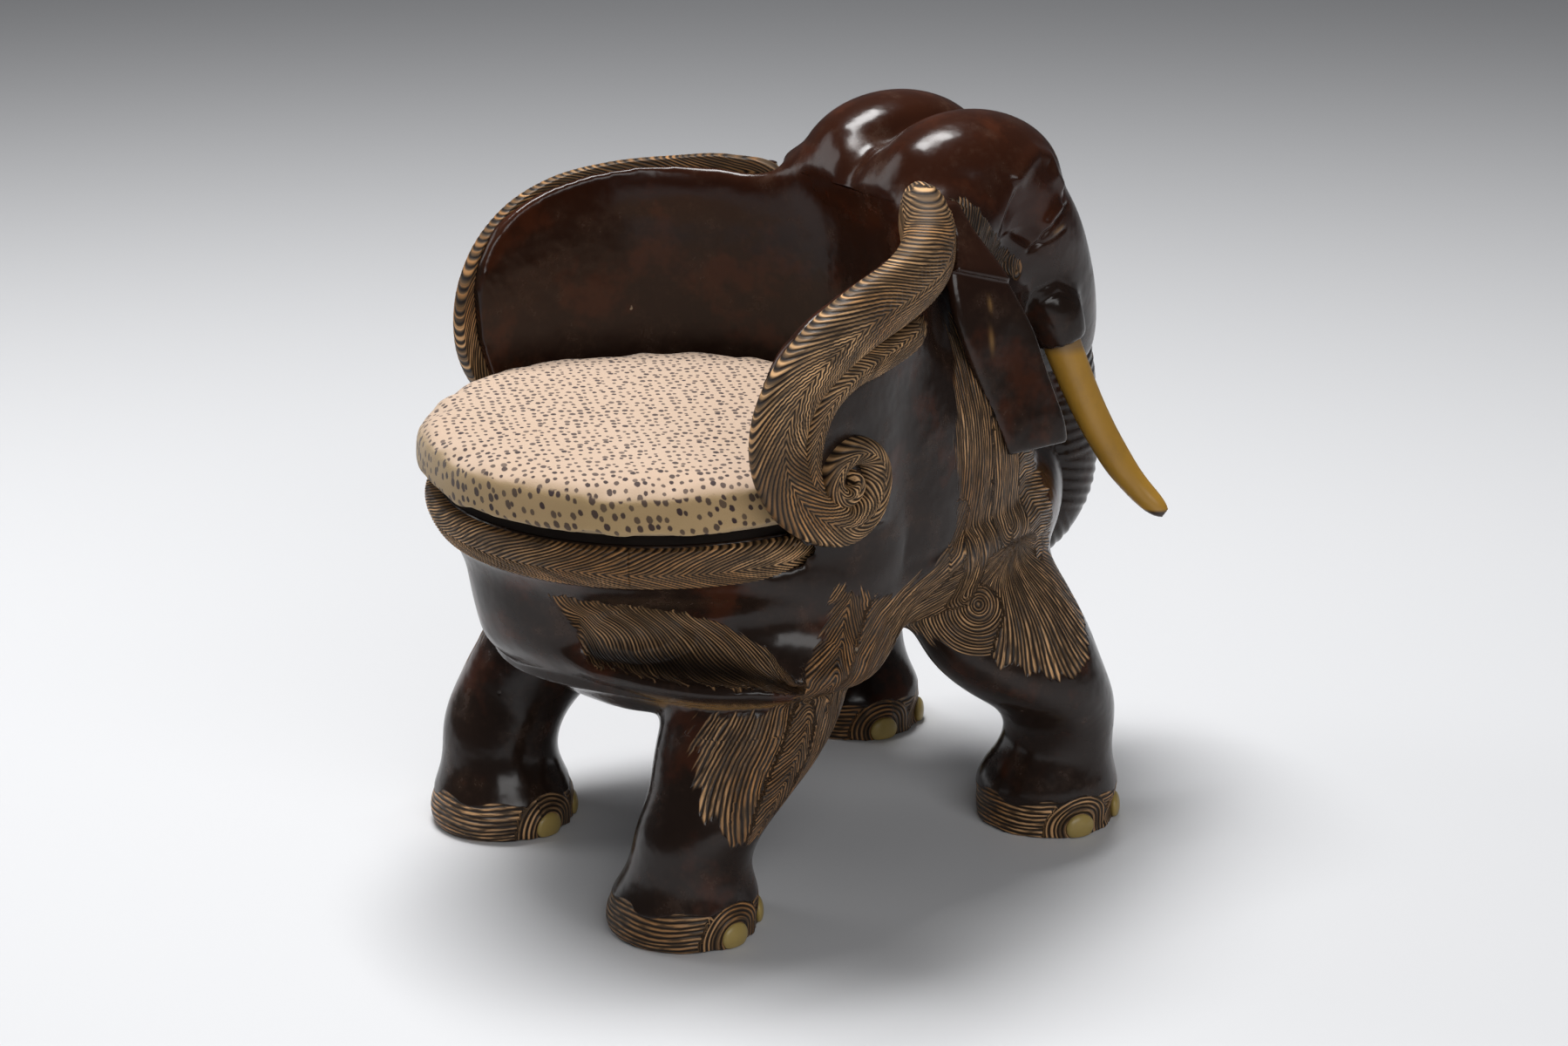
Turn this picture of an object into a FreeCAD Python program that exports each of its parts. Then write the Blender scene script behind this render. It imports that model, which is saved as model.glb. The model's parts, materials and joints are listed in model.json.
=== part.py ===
import FreeCAD
import Part
import math
import os

from FreeCAD import Vector

# Carved elephant barrel chair, in millimetres. +Z is up, +Y is the way the elephant walks,
# +X is its right-hand side, and the sitter faces -Y. The origin is on the floor, in the
# middle of the chair's length and width.

# Seat and cushion
CUSHION_R = 225.0
CUSHION_BOTTOM = 388.0
CUSHION_TOP = 436.0
CROWN_FLAT_R = 30.0
COVER_T = 1.5
COVER_HEM = 26.0
CUSHION_BOARD_R = 212.0
CUSHION_BOARD_T = 9.0
SEAT_BOARD_R = 204.0
SEAT_BOARD_T = 9.7
HALF_LENGTH = 374.5
SEAT_Y = CUSHION_R - HALF_LENGTH
BLOCK_TOP = 378.0

# Backrest wall
WALL_IN_R = 229.0
WALL_OUT_R = 250.0
WALL_EDGE_R = 8.0
WALL_TOP = 632.0
WELL_TOP = 608.0

# Carved rim band under the cushion
RIM_TOP = 376.0
RIM_BOTTOM = 337.0
RIM_IN_R = 196.0
RIM_SEAM_ANGLE = 48.0
RIM_END_ANGLE = 98.0

# Carved scroll along the arm
SCROLL_R = 247.0
VOLUTE_ANGLE = 96.0
VOLUTE_Z = 429.0
VOLUTE_R = 50.0
VOLUTE_DEPTH = 18.5
VOLUTE_EDGE_R = 9.0

# Feet and legs
FOOT_R = 69.0
FOOT_X = 154.0
HIND_FOOT_Y = -233.5
FRONT_FOOT_Y = 198.5
LEG_JOINT_Z = 284.0
HIND_NAIL_ANGLES = (8.0, 63.0, 117.0, 172.0)
FRONT_NAIL_ANGLES = (-10.0, 50.0, 130.0, 190.0)
NAIL_SIZE = (15.0, 13.0, 6.0)

# Torso
BODY_SPLIT_Y = 20.0

# Head, trunk, tusks and ears
HEAD_JOINT_Z = 548.0
DOME_X = 54.0
DOME_Y = 166.0
DOME_Z = 613.0
DOME_R = 74.0
DOME_HALF_LENGTH = 105.0
TEMPLE_X = 96.0
TEMPLE_Y = 108.0
TEMPLE_Z = 592.0
TEMPLE_R = 46.0
TEMPLE_HALF_LENGTH = 58.0
TRUNK_JOINT_Z = 432.0
TENON_R = 12.0
TENON_LENGTH = 36.0
EAR_T = 15.0
EAR_DOWELS = (((112, 104, 604), (149, 84, 604)), ((116, 108, 584), (156, 90, 584)))

# Dowels
DOWEL_R = 6.0
SMALL_DOWEL_R = 3.5

OUT = "parts"


def smooth_loop(points):
    """One closed smooth wire through the points."""
    curve = Part.BSplineCurve()
    curve.interpolate(Points=points, PeriodicFlag=True)
    return Part.Wire([curve.toShape()])


def round_wire(centre, rx, ry, normal=Vector(0, 0, 1), x_dir=Vector(1, 0, 0), corner=math.sqrt(0.5)):
    """An oval whose rx lies along x_dir; a corner over 0.71 makes it squarer than an ellipse."""
    n = Vector(normal).normalize()
    x = Vector(x_dir)
    x = x.sub(Vector(n).multiply(n.dot(x))).normalize()
    y = n.cross(x)
    c = corner
    turns = ((1, 0), (c, c), (0, 1), (-c, c), (-1, 0), (-c, -c), (0, -1), (c, -c))
    points = [centre.add(Vector(x).multiply(a * rx)).add(Vector(y).multiply(b * ry)) for a, b in turns]
    return smooth_loop(points)


def loft(wires):
    solid = Part.makeLoft(wires, True, False)
    return solid if solid.Volume > 0 else solid.reversed()


def level_loft(rows, side=1, corner=math.sqrt(0.5)):
    """A loft through level ovals, each row being (z, x, y, rx, ry)."""
    return loft([round_wire(Vector(side * x, y, z), rx, ry, corner=corner) for z, x, y, rx, ry in rows])


def path_loft(rows, side=1, x_dir=Vector(1, 0, 0)):
    """A loft through ovals square to a path, each row being (x, y, z, radius along x_dir, other radius)."""
    centres = [Vector(side * row[0], row[1], row[2]) for row in rows]
    wires = []
    for i, row in enumerate(rows):
        ahead = centres[min(i + 1, len(rows) - 1)]
        behind = centres[max(i - 1, 0)]
        wires.append(round_wire(centres[i], row[3], row[4], ahead.sub(behind), x_dir))
    return loft(wires)


def spheroid(centre, r, half_length, axis):
    """A round solid of revolution, r across and half_length along its axis."""
    ball = Part.makeSphere(1.0)
    stretch = FreeCAD.Matrix()
    stretch.scale(r, r, half_length)
    solid = ball.transformGeometry(stretch)
    solid.Placement = FreeCAD.Placement(Vector(centre), FreeCAD.Rotation(Vector(0, 0, 1), Vector(axis)))
    return solid


def cylinder(start, end, r):
    along = end.sub(start)
    return Part.makeCylinder(r, along.Length, start, along)


def box(low, high):
    size = Vector(high).sub(Vector(low))
    return Part.makeBox(size.x, size.y, size.z, Vector(low))


def main_solid(shape):
    """The largest solid of a boolean's result."""
    return sorted(shape.Solids, key=lambda s: s.Volume)[-1]


def mirrored(shape):
    return shape.mirror(Vector(0, 0, 0), Vector(1, 0, 0))


def on_seat_circle(angle, r, z):
    """A point at an angle round the seat: 0 is the front, 90 the elephant's right, 180 the back."""
    a = math.radians(angle)
    return Vector(r * math.sin(a), SEAT_Y - r * math.cos(a), z)


def turned(profile_face):
    """A face drawn in the XZ plane, turned once round the seat's axis."""
    ring = profile_face.revolve(Vector(0, 0, 0), Vector(0, 0, 1), 360)
    ring.translate(Vector(0, SEAT_Y, 0))
    return ring


def profile_face(steps):
    """A face in the XZ plane from points, where a three-point step is an arc."""
    edges = []
    here = Vector(steps[0][0], 0, steps[0][1])
    first = here
    for step in steps[1:]:
        if len(step) == 4:
            middle = Vector(step[0], 0, step[1])
            there = Vector(step[2], 0, step[3])
            edges.append(Part.Arc(here, middle, there).toShape())
        else:
            there = Vector(step[0], 0, step[1])
            edges.append(Part.makeLine(here, there))
        here = there
    edges.append(Part.makeLine(here, first))
    return Part.Face(Part.Wire(edges))


# Legs

def hind_leg():
    rows = [
        (0, FOOT_X, HIND_FOOT_Y, FOOT_R, FOOT_R),
        (26, FOOT_X, HIND_FOOT_Y, FOOT_R + 1, FOOT_R),
        (45, 157, -232, 63, 63),
        (66, 161, -231, 56, 57),
        (92, 165, -225, 57, 58),
        (124, 166, -204, 62, 65),
        (155, 158, -176, 68, 80),
        (190, 149, -152, 72, 88),
        (215, 142, -140, 70, 88),
        (245, 134, -130, 64, 82),
        (LEG_JOINT_Z, 128, -124, 56, 72),
    ]
    return level_loft(rows)


def front_leg():
    rows = [
        (0, FOOT_X, FRONT_FOOT_Y, FOOT_R, FOOT_R),
        (30, FOOT_X + 1, FRONT_FOOT_Y, FOOT_R, FOOT_R),
        (56, 159, 199, 63, 63),
        (76, 163, 202, 55, 56),
        (96, 166, 203, 53, 54),
        (120, 168, 195, 58, 59),
        (146, 168, 174, 66, 72),
        (180, 162, 150, 68, 86),
        (215, 150, 136, 66, 92),
        (250, 136, 126, 62, 88),
        (LEG_JOINT_Z, 124, 118, 56, 78),
    ]
    return level_loft(rows)


def toenails(foot_x, foot_y, angles):
    """Four nails let into the front half of a foot."""
    nails = []
    for angle in angles:
        a = math.radians(angle)
        out = Vector(math.cos(a), math.sin(a), 0)
        centre = Vector(foot_x, foot_y, 0).add(Vector(out).multiply(FOOT_R - 1.5))
        wide, high, thick = NAIL_SIZE
        ball = Part.makeSphere(1.0)
        stretch = FreeCAD.Matrix()
        stretch.scale(thick, wide, high)
        nail = ball.transformGeometry(stretch)
        turn = FreeCAD.Rotation(Vector(1, 0, 0), out)
        nail.Placement = FreeCAD.Placement(centre.add(Vector(0, 0, 10)), turn)
        nails.append(nail.common(box((-400, -400, 1.5), (400, 400, 60))))
    return nails


# Torso

def polar_wire(z, radii):
    """A level loop about the seat's axis, with a radius every 22.5 degrees from front to back."""
    angles = [22.5 * i for i in range(9)]
    right = [on_seat_circle(angle, r, z) for angle, r in zip(angles, radii)]
    left = [Vector(-p.x, p.y, p.z) for p in right[1:-1]]
    return smooth_loop(right + left[::-1])


def seat_drum():
    """The rump under the seat: a ridge in front, a hollow with a lip on each hip."""
    rows = [
        (191, (84, 88, 100, 118, 120, 118, 112, 108, 106)),
        (205, (132, 134, 140, 162, 178, 170, 150, 142, 140)),
        (219, (160, 158, 164, 194, 214, 206, 182, 172, 170)),
        (232, (176, 170, 179, 210, 236, 228, 206, 196, 192)),
        (245, (186, 176, 178, 209, 241, 238, 222, 214, 210)),
        (260, (191, 175, 158, 182, 230, 242, 234, 228, 224)),
        (282, (192, 175, 149, 164, 214, 244, 242, 238, 236)),
        (304, (192, 181, 164, 172, 211, 245, 248, 246, 244)),
        (322, (194, 190, 186, 190, 216, 247, WALL_OUT_R, WALL_OUT_R, WALL_OUT_R)),
        (RIM_BOTTOM, (200, 199, 198, 199, 215, 248, WALL_OUT_R, WALL_OUT_R, WALL_OUT_R)),
        (358, (203, 203, 203, 203, 214, 249, WALL_OUT_R, WALL_OUT_R, WALL_OUT_R)),
        (BLOCK_TOP, (203, 203, 203, 203, 214, 249, WALL_OUT_R, WALL_OUT_R, WALL_OUT_R)),
    ]
    return loft([polar_wire(z, radii) for z, radii in rows])


def barrel():
    """The belly and chest, lofted along the walking direction."""
    rows = [
        (0, -150, 290, 176, 84),
        (0, -60, 298, 216, 96),
        (0, 20, 304, 218, 98),
        (0, 90, 306, 206, 98),
        (0, 150, 304, 186, 98),
        (0, 200, 298, 156, 98),
        (0, 240, 288, 116, 90),
        (0, 268, 276, 76, 70),
        (0, 284, 268, 38, 40),
    ]
    return path_loft(rows)


def shoulders():
    """Fills out the torso under the neck, so that the neck runs down into the chest."""
    rows = [
        (262, 0, 76, 132, 104),
        (284, 0, 70, 168, 134),
        (310, 0, 63, 192, 156),
        (342, 0, 58, 204, 170),
        (BLOCK_TOP, 0, 56, 208, 176),
    ]
    return level_loft(rows)


def neck():
    """The neck and shoulders that rise behind the backrest to the head."""
    rows = [
        (BLOCK_TOP, 0, 56, 208, 176),
        (410, 0, 58, 206, 168),
        (450, 0, 66, 197, 158),
        (490, 0, 80, 178, 148),
        (520, 0, 98, 154, 136),
        (HEAD_JOINT_Z, 0, 118, 128, 120),
    ]
    return level_loft(rows)


# Backrest

def wall_ring():
    """The round backrest wall with a rounded top edge, all the way round."""
    r = WALL_EDGE_R
    k = r * (1 - math.sqrt(0.5))
    face = profile_face(
        [
            (WALL_IN_R, BLOCK_TOP),
            (WALL_OUT_R, BLOCK_TOP),
            (WALL_OUT_R, WALL_TOP - r),
            (WALL_OUT_R - k, WALL_TOP - k, WALL_OUT_R - r, WALL_TOP),
            (WALL_IN_R + r, WALL_TOP),
            (WALL_IN_R + k, WALL_TOP - k, WALL_IN_R, WALL_TOP - r),
        ]
    )
    return turned(face)


def arm_outline():
    """What the right arm keeps of the ring, seen square to its front end."""
    rows = [
        (-164, 378),
        (-185, 415),
        (-201, 460),
        (-204, 503),
        (-195, 538),
        (-171, 568),
        (-125, 593),
        (-70, 608),
        (0, 617),
        (110, 622),
    ]
    top = Part.BSplineCurve()
    top.interpolate([Vector(0, y, z) for y, z in rows])
    back = Vector(0, 130, 620)
    edges = [
        top.toShape(),
        Part.makeLine(top.EndPoint, back),
        Part.makeLine(back, Vector(0, 130, 370)),
        Part.makeLine(Vector(0, 130, 370), Vector(0, rows[0][0], 370)),
        Part.makeLine(Vector(0, rows[0][0], 370), top.StartPoint),
    ]
    face = Part.Face(Part.Wire(edges))
    lean = Vector(math.sin(math.radians(76)), -math.cos(math.radians(76)), 0)
    reach = 247.0
    face.translate(Vector(0, 0, 0).sub(Vector(lean).multiply(reach)).add(Vector(reach * 0.97, 0, 0)))
    return face.extrude(Vector(lean).multiply(2 * reach))


def back_half():
    half = box((0, -400, 300), (400, 400, 700))
    return main_solid(wall_ring().common(arm_outline()).common(half))


# Scroll

def scroll_loft(rows):
    """A loft along the wall's outside, each row being (angle, height, half width, half depth)."""
    centres = [on_seat_circle(angle, SCROLL_R, z) for angle, z, _, _ in rows]
    wires = []
    for i, (angle, _, half_width, half_depth) in enumerate(rows):
        a = math.radians(angle)
        out = Vector(math.sin(a), -math.cos(a), 0)
        ahead = centres[min(i + 1, len(rows) - 1)]
        behind = centres[max(i - 1, 0)]
        wires.append(round_wire(centres[i], half_depth, half_width, ahead.sub(behind), out, corner=0.76))
    return loft(wires)


def volute_hub():
    """The thick disc with rounded rims in the middle of the volute."""
    centre = on_seat_circle(VOLUTE_ANGLE, SCROLL_R, VOLUTE_Z)
    out = Vector(centre.x, centre.y - SEAT_Y, 0).normalize()
    reach = Vector(out).multiply(VOLUTE_DEPTH)
    disc = cylinder(centre.sub(reach), centre.add(reach), VOLUTE_R)
    rims = [edge for edge in disc.Edges if isinstance(edge.Curve, Part.Circle)]
    return disc.makeFillet(VOLUTE_EDGE_R, rims)


def scroll():
    """The main roll of the arm with its volute, and the thinner strand below it."""
    roll = scroll_loft(
        [
            (154, 596, 27, 21),
            (142, 593, 29, 23),
            (128, 589, 30, 22),
            (114, 584, 30, 19),
            (102, 574, 30, 17),
            (92, 556, 29, 17),
            (84, 527, 27, 17),
            (80, 492, 26, 17),
            (80, 454, 26, 17),
            (84, 420, 25, 17),
            (90, 398, 23, 17),
            (97, 390, 19, 16),
        ]
    )
    strand = scroll_loft(
        [
            (125, 543, 12, 12),
            (117, 537, 14, 14),
            (106, 533, 14, 14),
            (97, 526, 13, 14),
            (90, 507, 12, 14),
            (87, 482, 11, 14),
            (86, 456, 9, 13),
        ]
    )
    return main_solid(roll.fuse(strand).fuse(volute_hub()))


# Rim band

def rim_ring():
    face = profile_face(
        [
            (RIM_IN_R, RIM_BOTTOM),
            (206, RIM_BOTTOM - 1),
            (214, 349, 217.5, 363),
            (217, RIM_TOP - 3, 212, RIM_TOP),
            (RIM_IN_R, RIM_TOP),
        ]
    )
    return turned(face)


def sector(start, end):
    """A wedge of the chair between two angles round the seat."""
    reach = 600.0
    steps = 4
    points = [Vector(0, SEAT_Y, 300)]
    for i in range(steps + 1):
        points.append(on_seat_circle(start + (end - start) * i / steps, reach, 300))
    points.append(points[0])
    return Part.Face(Part.makePolygon(points)).extrude(Vector(0, 0, 100))


# Head

def skull():
    rows = [
        (404, 0, 282, 52, 56),
        (420, 0, 276, 66, 74),
        (450, 0, 266, 82, 84),
        (485, 0, 246, 98, 96),
        (520, 0, 224, 110, 108),
        (560, 0, 196, 119, 122),
        (600, 0, 176, 121, 119),
        (630, 0, 168, 108, 102),
        (654, 0, 164, 76, 76),
    ]
    return level_loft(rows, corner=0.75)


def head():
    """Skull, twin domes, temples behind the ears and the tusk sockets, carved from one block."""
    along = Vector(0, 1, 0)
    shape = skull()
    for side in (1, -1):
        dome = Vector(side * DOME_X, DOME_Y, DOME_Z)
        temple = Vector(side * TEMPLE_X, TEMPLE_Y, TEMPLE_Z)
        shape = shape.fuse(spheroid(dome, DOME_R, DOME_HALF_LENGTH, along))
        shape = shape.fuse(spheroid(temple, TEMPLE_R, TEMPLE_HALF_LENGTH, along))
    socket = tusk_socket()
    return main_solid(shape.fuse(socket).fuse(mirrored(socket)))


def tusk_socket():
    rows = [
        (60, 214, 545, 20, 20),
        (78, 228, 520, 28, 28),
        (92, 240, 495, 31, 31),
        (99, 249, 470, 27, 27),
        (101, 252, 459, 24, 24),
    ]
    return path_loft(rows)


def tusk():
    rows = [
        (99.0, 248.0, 470, 18.5, 18.5),
        (100.5, 252.5, 456, 18.5, 18.5),
        (106.0, 264.0, 424, 17.5, 17.5),
        (114.0, 277.8, 388, 16.5, 16.5),
        (124.0, 292.0, 355, 15.5, 15.5),
        (137.0, 305.5, 326, 14.0, 14.0),
        (151.0, 318.5, 304, 12.0, 12.0),
        (163.0, 327.5, 291, 9.0, 9.0),
        (168.0, 331.5, 286.5, 5.0, 5.0),
    ]
    body = path_loft(rows)
    root = Vector(100.5, 252.5, 456)
    tenon = cylinder(root, Vector(88, 231, 456 + TENON_LENGTH), TENON_R)
    return body.fuse(tenon)


def trunk():
    """The trunk hangs from the face and curls back under to the chest."""
    rows = [
        (0, 290, 446, 62, 56),
        (0, 305, 418, 58, 54),
        (0, 316, 384, 53, 51),
        (0, 322, 348, 50, 50),
        (0, 324.5, 312, 48, 50),
        (0, 323, 284, 46, 48),
        (0, 313, 258, 43, 43),
        (0, 295, 240, 40, 38),
        (0, 273, 232, 36, 34),
        (0, 250, 232, 34, 32),
    ]
    return path_loft(rows)


def flap_wire(x, y, z, half_width):
    """A level loop of two straight sides and two round ends, as thick as an ear."""
    r = EAR_T / 2
    low = y - half_width + r
    high = y + half_width - r
    corners = [Vector(x + r, low, z), Vector(x + r, high, z), Vector(x - r, high, z), Vector(x - r, low, z)]
    edges = [
        Part.makeLine(corners[0], corners[1]),
        Part.Arc(corners[1], Vector(x, high + r, z), corners[2]).toShape(),
        Part.makeLine(corners[2], corners[3]),
        Part.Arc(corners[3], Vector(x, low - r, z), corners[0]).toShape(),
    ]
    return Part.Wire(edges)


def ear():
    """A broad flap that hangs from the temple, folded outwards near its top."""
    rows = [
        (630, 138, 76, 11),
        (618, 144, 77, 15),
        (600, 152, 79, 21),
        (575, 164, 84, 29),
        (545, 175, 90, 37),
        (510, 184, 101, 42),
        (475, 189, 113, 41),
        (440, 193, 126, 40),
        (415, 196, 135, 39),
        (398, 197, 139, 37),
    ]
    return loft([flap_wire(x, y, z, half_width) for z, x, y, half_width in rows])


# Seat board and cushion

def seat_board():
    return cylinder(Vector(0, SEAT_Y, BLOCK_TOP), Vector(0, SEAT_Y, BLOCK_TOP + SEAT_BOARD_T), SEAT_BOARD_R)


def cushion_outline(inset):
    """Half of the cushion's section: bulging sides and a soft crown."""
    r = CUSHION_R - inset
    z0 = CUSHION_BOTTOM + inset
    z1 = CUSHION_TOP - inset
    return [
        (0, z0),
        (r - 7, z0),
        (r - 1.5, z0 + 3, r - 1, z0 + 9),
        (r, z0 + 20, r - 1.5, z0 + 31),
        (r - 2.5, z0 + 38, r - 9, z1 - 4),
        (r - 105, z1 - 0.9, CROWN_FLAT_R, z1),
        (0, z1),
    ]


def cushion_cover():
    """A sewn cover, open under the board inside a turned hem."""
    skin = turned(profile_face(cushion_outline(0)))
    inside = turned(profile_face(cushion_outline(COVER_T)))
    opening = cylinder(
        Vector(0, SEAT_Y, CUSHION_BOTTOM - 1),
        Vector(0, SEAT_Y, CUSHION_BOTTOM + COVER_T + 1),
        CUSHION_R - COVER_HEM,
    )
    return main_solid(skin.cut(inside).cut(opening))


def cushion_board():
    z = CUSHION_BOTTOM + COVER_T
    board = cylinder(Vector(0, SEAT_Y, z), Vector(0, SEAT_Y, z + CUSHION_BOARD_T), CUSHION_BOARD_R)
    return board


def cushion_foam():
    inside = turned(profile_face(cushion_outline(COVER_T)))
    return main_solid(inside.cut(cushion_board()))


# Dowels

def dowels(points, along, r=DOWEL_R):
    """Dowels centred on the points, each half in one piece and half in the next."""
    half = Vector(along).multiply(0.5)
    return [cylinder(p.sub(half), p.add(half), r) for p in points]


def both_sides(points):
    return points + [Vector(-p.x, p.y, p.z) for p in points]


def all_dowels():
    up = Vector(0, 0, 50)
    ahead = Vector(0, 60, 0)
    legs = both_sides([Vector(128, -124, LEG_JOINT_Z), Vector(124, 118, LEG_JOINT_Z)])
    walls = both_sides([on_seat_circle(angle, 239, BLOCK_TOP) for angle in (120, 141, 165)])
    splits = both_sides([Vector(90, BODY_SPLIT_Y, 320), Vector(90, BODY_SPLIT_Y, 265)])
    ears = []
    for side in (1, -1):
        for root, tip in EAR_DOWELS:
            start = Vector(side * root[0], root[1], root[2])
            end = Vector(side * tip[0], tip[1], tip[2])
            ears.append(cylinder(start, end, SMALL_DOWEL_R))
    return {
        "leg_dowels": dowels(legs, up),
        "back_dowels": dowels(walls, up),
        "neck_dowels": dowels(both_sides([Vector(80, 160, BLOCK_TOP)]), up),
        "head_dowels": dowels(both_sides([Vector(50, 170, HEAD_JOINT_Z)]), up),
        "body_dowels": dowels(splits, ahead),
        "trunk_dowel": dowels([Vector(0, 296, TRUNK_JOINT_Z)], up),
        "ear_dowels": ears,
    }


# Assembly

def cut_all(shape, tools):
    for tool in tools:
        shape = shape.cut(tool)
    return main_solid(shape)


def flat(groups):
    return [solid for group in groups for solid in group]


def export(name, solids):
    shape = solids[0] if len(solids) == 1 else Part.makeCompound(solids)
    shape.exportStep(os.path.join(OUT, name + ".step"))
    state = "valid" if shape.isValid() else "INVALID"
    print(name, len(shape.Solids), round(shape.Volume / 1000), "cm3", state)


def build_legs(pins):
    """Legs and their nails, right then left."""
    pieces = {}
    kinds = (
        ("hind", hind_leg(), HIND_FOOT_Y, HIND_NAIL_ANGLES),
        ("front", front_leg(), FRONT_FOOT_Y, FRONT_NAIL_ANGLES),
    )
    for name, leg, y, angles in kinds:
        for side, x, shape in (("right", FOOT_X, leg), ("left", -FOOT_X, mirrored(leg))):
            nails = toenails(x, y, angles)
            pieces["toenails_" + name + "_" + side] = nails
            pieces["leg_" + name + "_" + side] = [cut_all(shape, nails + pins["leg_dowels"])]
    return pieces


def build_rim(scrolls):
    """The band in three segments that meet in two seams."""
    ring = rim_ring()
    spans = {
        "rim_front": (-RIM_SEAM_ANGLE, RIM_SEAM_ANGLE),
        "rim_right": (RIM_SEAM_ANGLE, RIM_END_ANGLE),
        "rim_left": (-RIM_END_ANGLE, -RIM_SEAM_ANGLE),
    }
    return {name: [cut_all(ring.common(sector(a, b)), scrolls)] for name, (a, b) in spans.items()}


def main():
    os.makedirs(OUT, exist_ok=True)
    pins = all_dowels()
    pieces = dict(pins)
    pieces.update(build_legs(pins))
    whole_legs = [hind_leg(), front_leg()]
    whole_legs += [mirrored(leg) for leg in whole_legs]

    right_scroll = scroll()
    scrolls = [right_scroll, mirrored(right_scroll)]
    pieces["scroll_right"] = [scrolls[0]]
    pieces["scroll_left"] = [scrolls[1]]
    pieces.update(build_rim(scrolls))
    rim = flat([pieces["rim_front"], pieces["rim_right"], pieces["rim_left"]])

    torso = seat_drum().fuse(barrel()).fuse(shoulders()).common(box((-400, -500, 0), (400, 500, BLOCK_TOP)))
    torso = cut_all(torso, whole_legs + scrolls + rim)
    rump = torso.common(box((-400, -500, 0), (400, BODY_SPLIT_Y, 500)))
    chest = torso.common(box((-400, BODY_SPLIT_Y, 0), (400, 500, 500)))
    joint_pins = flat([pins["leg_dowels"], pins["back_dowels"], pins["neck_dowels"], pins["body_dowels"]])
    pieces["seat_block"] = [cut_all(rump, joint_pins)]
    pieces["chest_block"] = [cut_all(chest, joint_pins)]

    right_wall = back_half()
    walls = [right_wall, mirrored(right_wall)]
    pieces["back_right"] = [cut_all(walls[0], scrolls + pins["back_dowels"])]
    pieces["back_left"] = [cut_all(walls[1], scrolls + pins["back_dowels"])]

    well = cylinder(Vector(0, SEAT_Y, BLOCK_TOP - 1), Vector(0, SEAT_Y, WELL_TOP), WALL_OUT_R)
    neck_pins = pins["neck_dowels"] + pins["head_dowels"]
    whole_neck = cut_all(neck(), [well] + walls + scrolls)
    pieces["neck_block"] = [cut_all(whole_neck, neck_pins)]

    right_tusk = tusk()
    tusks = [right_tusk, mirrored(right_tusk)]
    pieces["tusk_right"] = [tusks[0]]
    pieces["tusk_left"] = [tusks[1]]

    lower_trunk = trunk().common(box((-400, 0, 0), (400, 500, TRUNK_JOINT_Z)))
    pieces["trunk"] = [cut_all(lower_trunk, pins["trunk_dowel"] + [chest])]
    head_pins = flat([pins["head_dowels"], pins["trunk_dowel"], pins["ear_dowels"]])
    whole_head = cut_all(head(), [well] + walls + scrolls + [whole_neck, lower_trunk] + tusks)
    pieces["head"] = [cut_all(whole_head, head_pins)]

    beside_ears = [whole_head, whole_neck, chest] + pins["ear_dowels"]
    pieces["ear_right"] = [cut_all(ear(), [scrolls[0]] + beside_ears)]
    pieces["ear_left"] = [cut_all(mirrored(ear()), [scrolls[1]] + beside_ears)]

    pieces["seat_board"] = [seat_board()]
    pieces["cushion_board"] = [cushion_board()]
    pieces["cushion_foam"] = [cushion_foam()]
    pieces["cushion_cover"] = [cushion_cover()]

    for name, solids in sorted(pieces.items()):
        export(name, solids)


main()
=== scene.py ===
import json
import math
from contextlib import contextmanager

import bpy
import numpy as np
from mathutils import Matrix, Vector

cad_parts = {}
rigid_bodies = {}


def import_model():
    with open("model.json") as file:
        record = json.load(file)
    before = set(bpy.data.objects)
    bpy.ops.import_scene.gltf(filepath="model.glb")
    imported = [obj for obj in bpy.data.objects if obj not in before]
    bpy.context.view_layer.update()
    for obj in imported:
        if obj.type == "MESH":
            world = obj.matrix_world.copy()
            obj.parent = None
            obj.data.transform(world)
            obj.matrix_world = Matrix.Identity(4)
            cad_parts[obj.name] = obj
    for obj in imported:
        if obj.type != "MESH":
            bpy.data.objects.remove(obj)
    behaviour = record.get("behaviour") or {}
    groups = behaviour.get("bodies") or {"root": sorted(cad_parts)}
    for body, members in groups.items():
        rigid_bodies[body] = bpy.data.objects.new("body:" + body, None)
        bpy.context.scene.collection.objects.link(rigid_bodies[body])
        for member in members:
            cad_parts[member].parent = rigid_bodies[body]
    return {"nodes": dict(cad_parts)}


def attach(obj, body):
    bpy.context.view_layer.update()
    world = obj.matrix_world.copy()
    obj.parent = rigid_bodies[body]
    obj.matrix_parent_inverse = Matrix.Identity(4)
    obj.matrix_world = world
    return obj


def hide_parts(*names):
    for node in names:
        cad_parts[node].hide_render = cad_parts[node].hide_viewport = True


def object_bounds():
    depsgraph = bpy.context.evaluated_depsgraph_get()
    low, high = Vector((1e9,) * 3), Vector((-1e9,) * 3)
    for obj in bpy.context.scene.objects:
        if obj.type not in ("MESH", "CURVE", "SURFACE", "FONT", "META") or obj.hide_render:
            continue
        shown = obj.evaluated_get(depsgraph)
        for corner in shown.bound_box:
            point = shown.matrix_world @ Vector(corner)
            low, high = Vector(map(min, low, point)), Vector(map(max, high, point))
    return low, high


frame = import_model()
cad_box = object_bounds()

# Carved elephant barrel chair, in metres. +Z is up, +Y is the way the elephant walks, +X is its
# right-hand side. Angles round the seat are 0 at the front, 90 on the right and 180 at the back.

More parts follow.
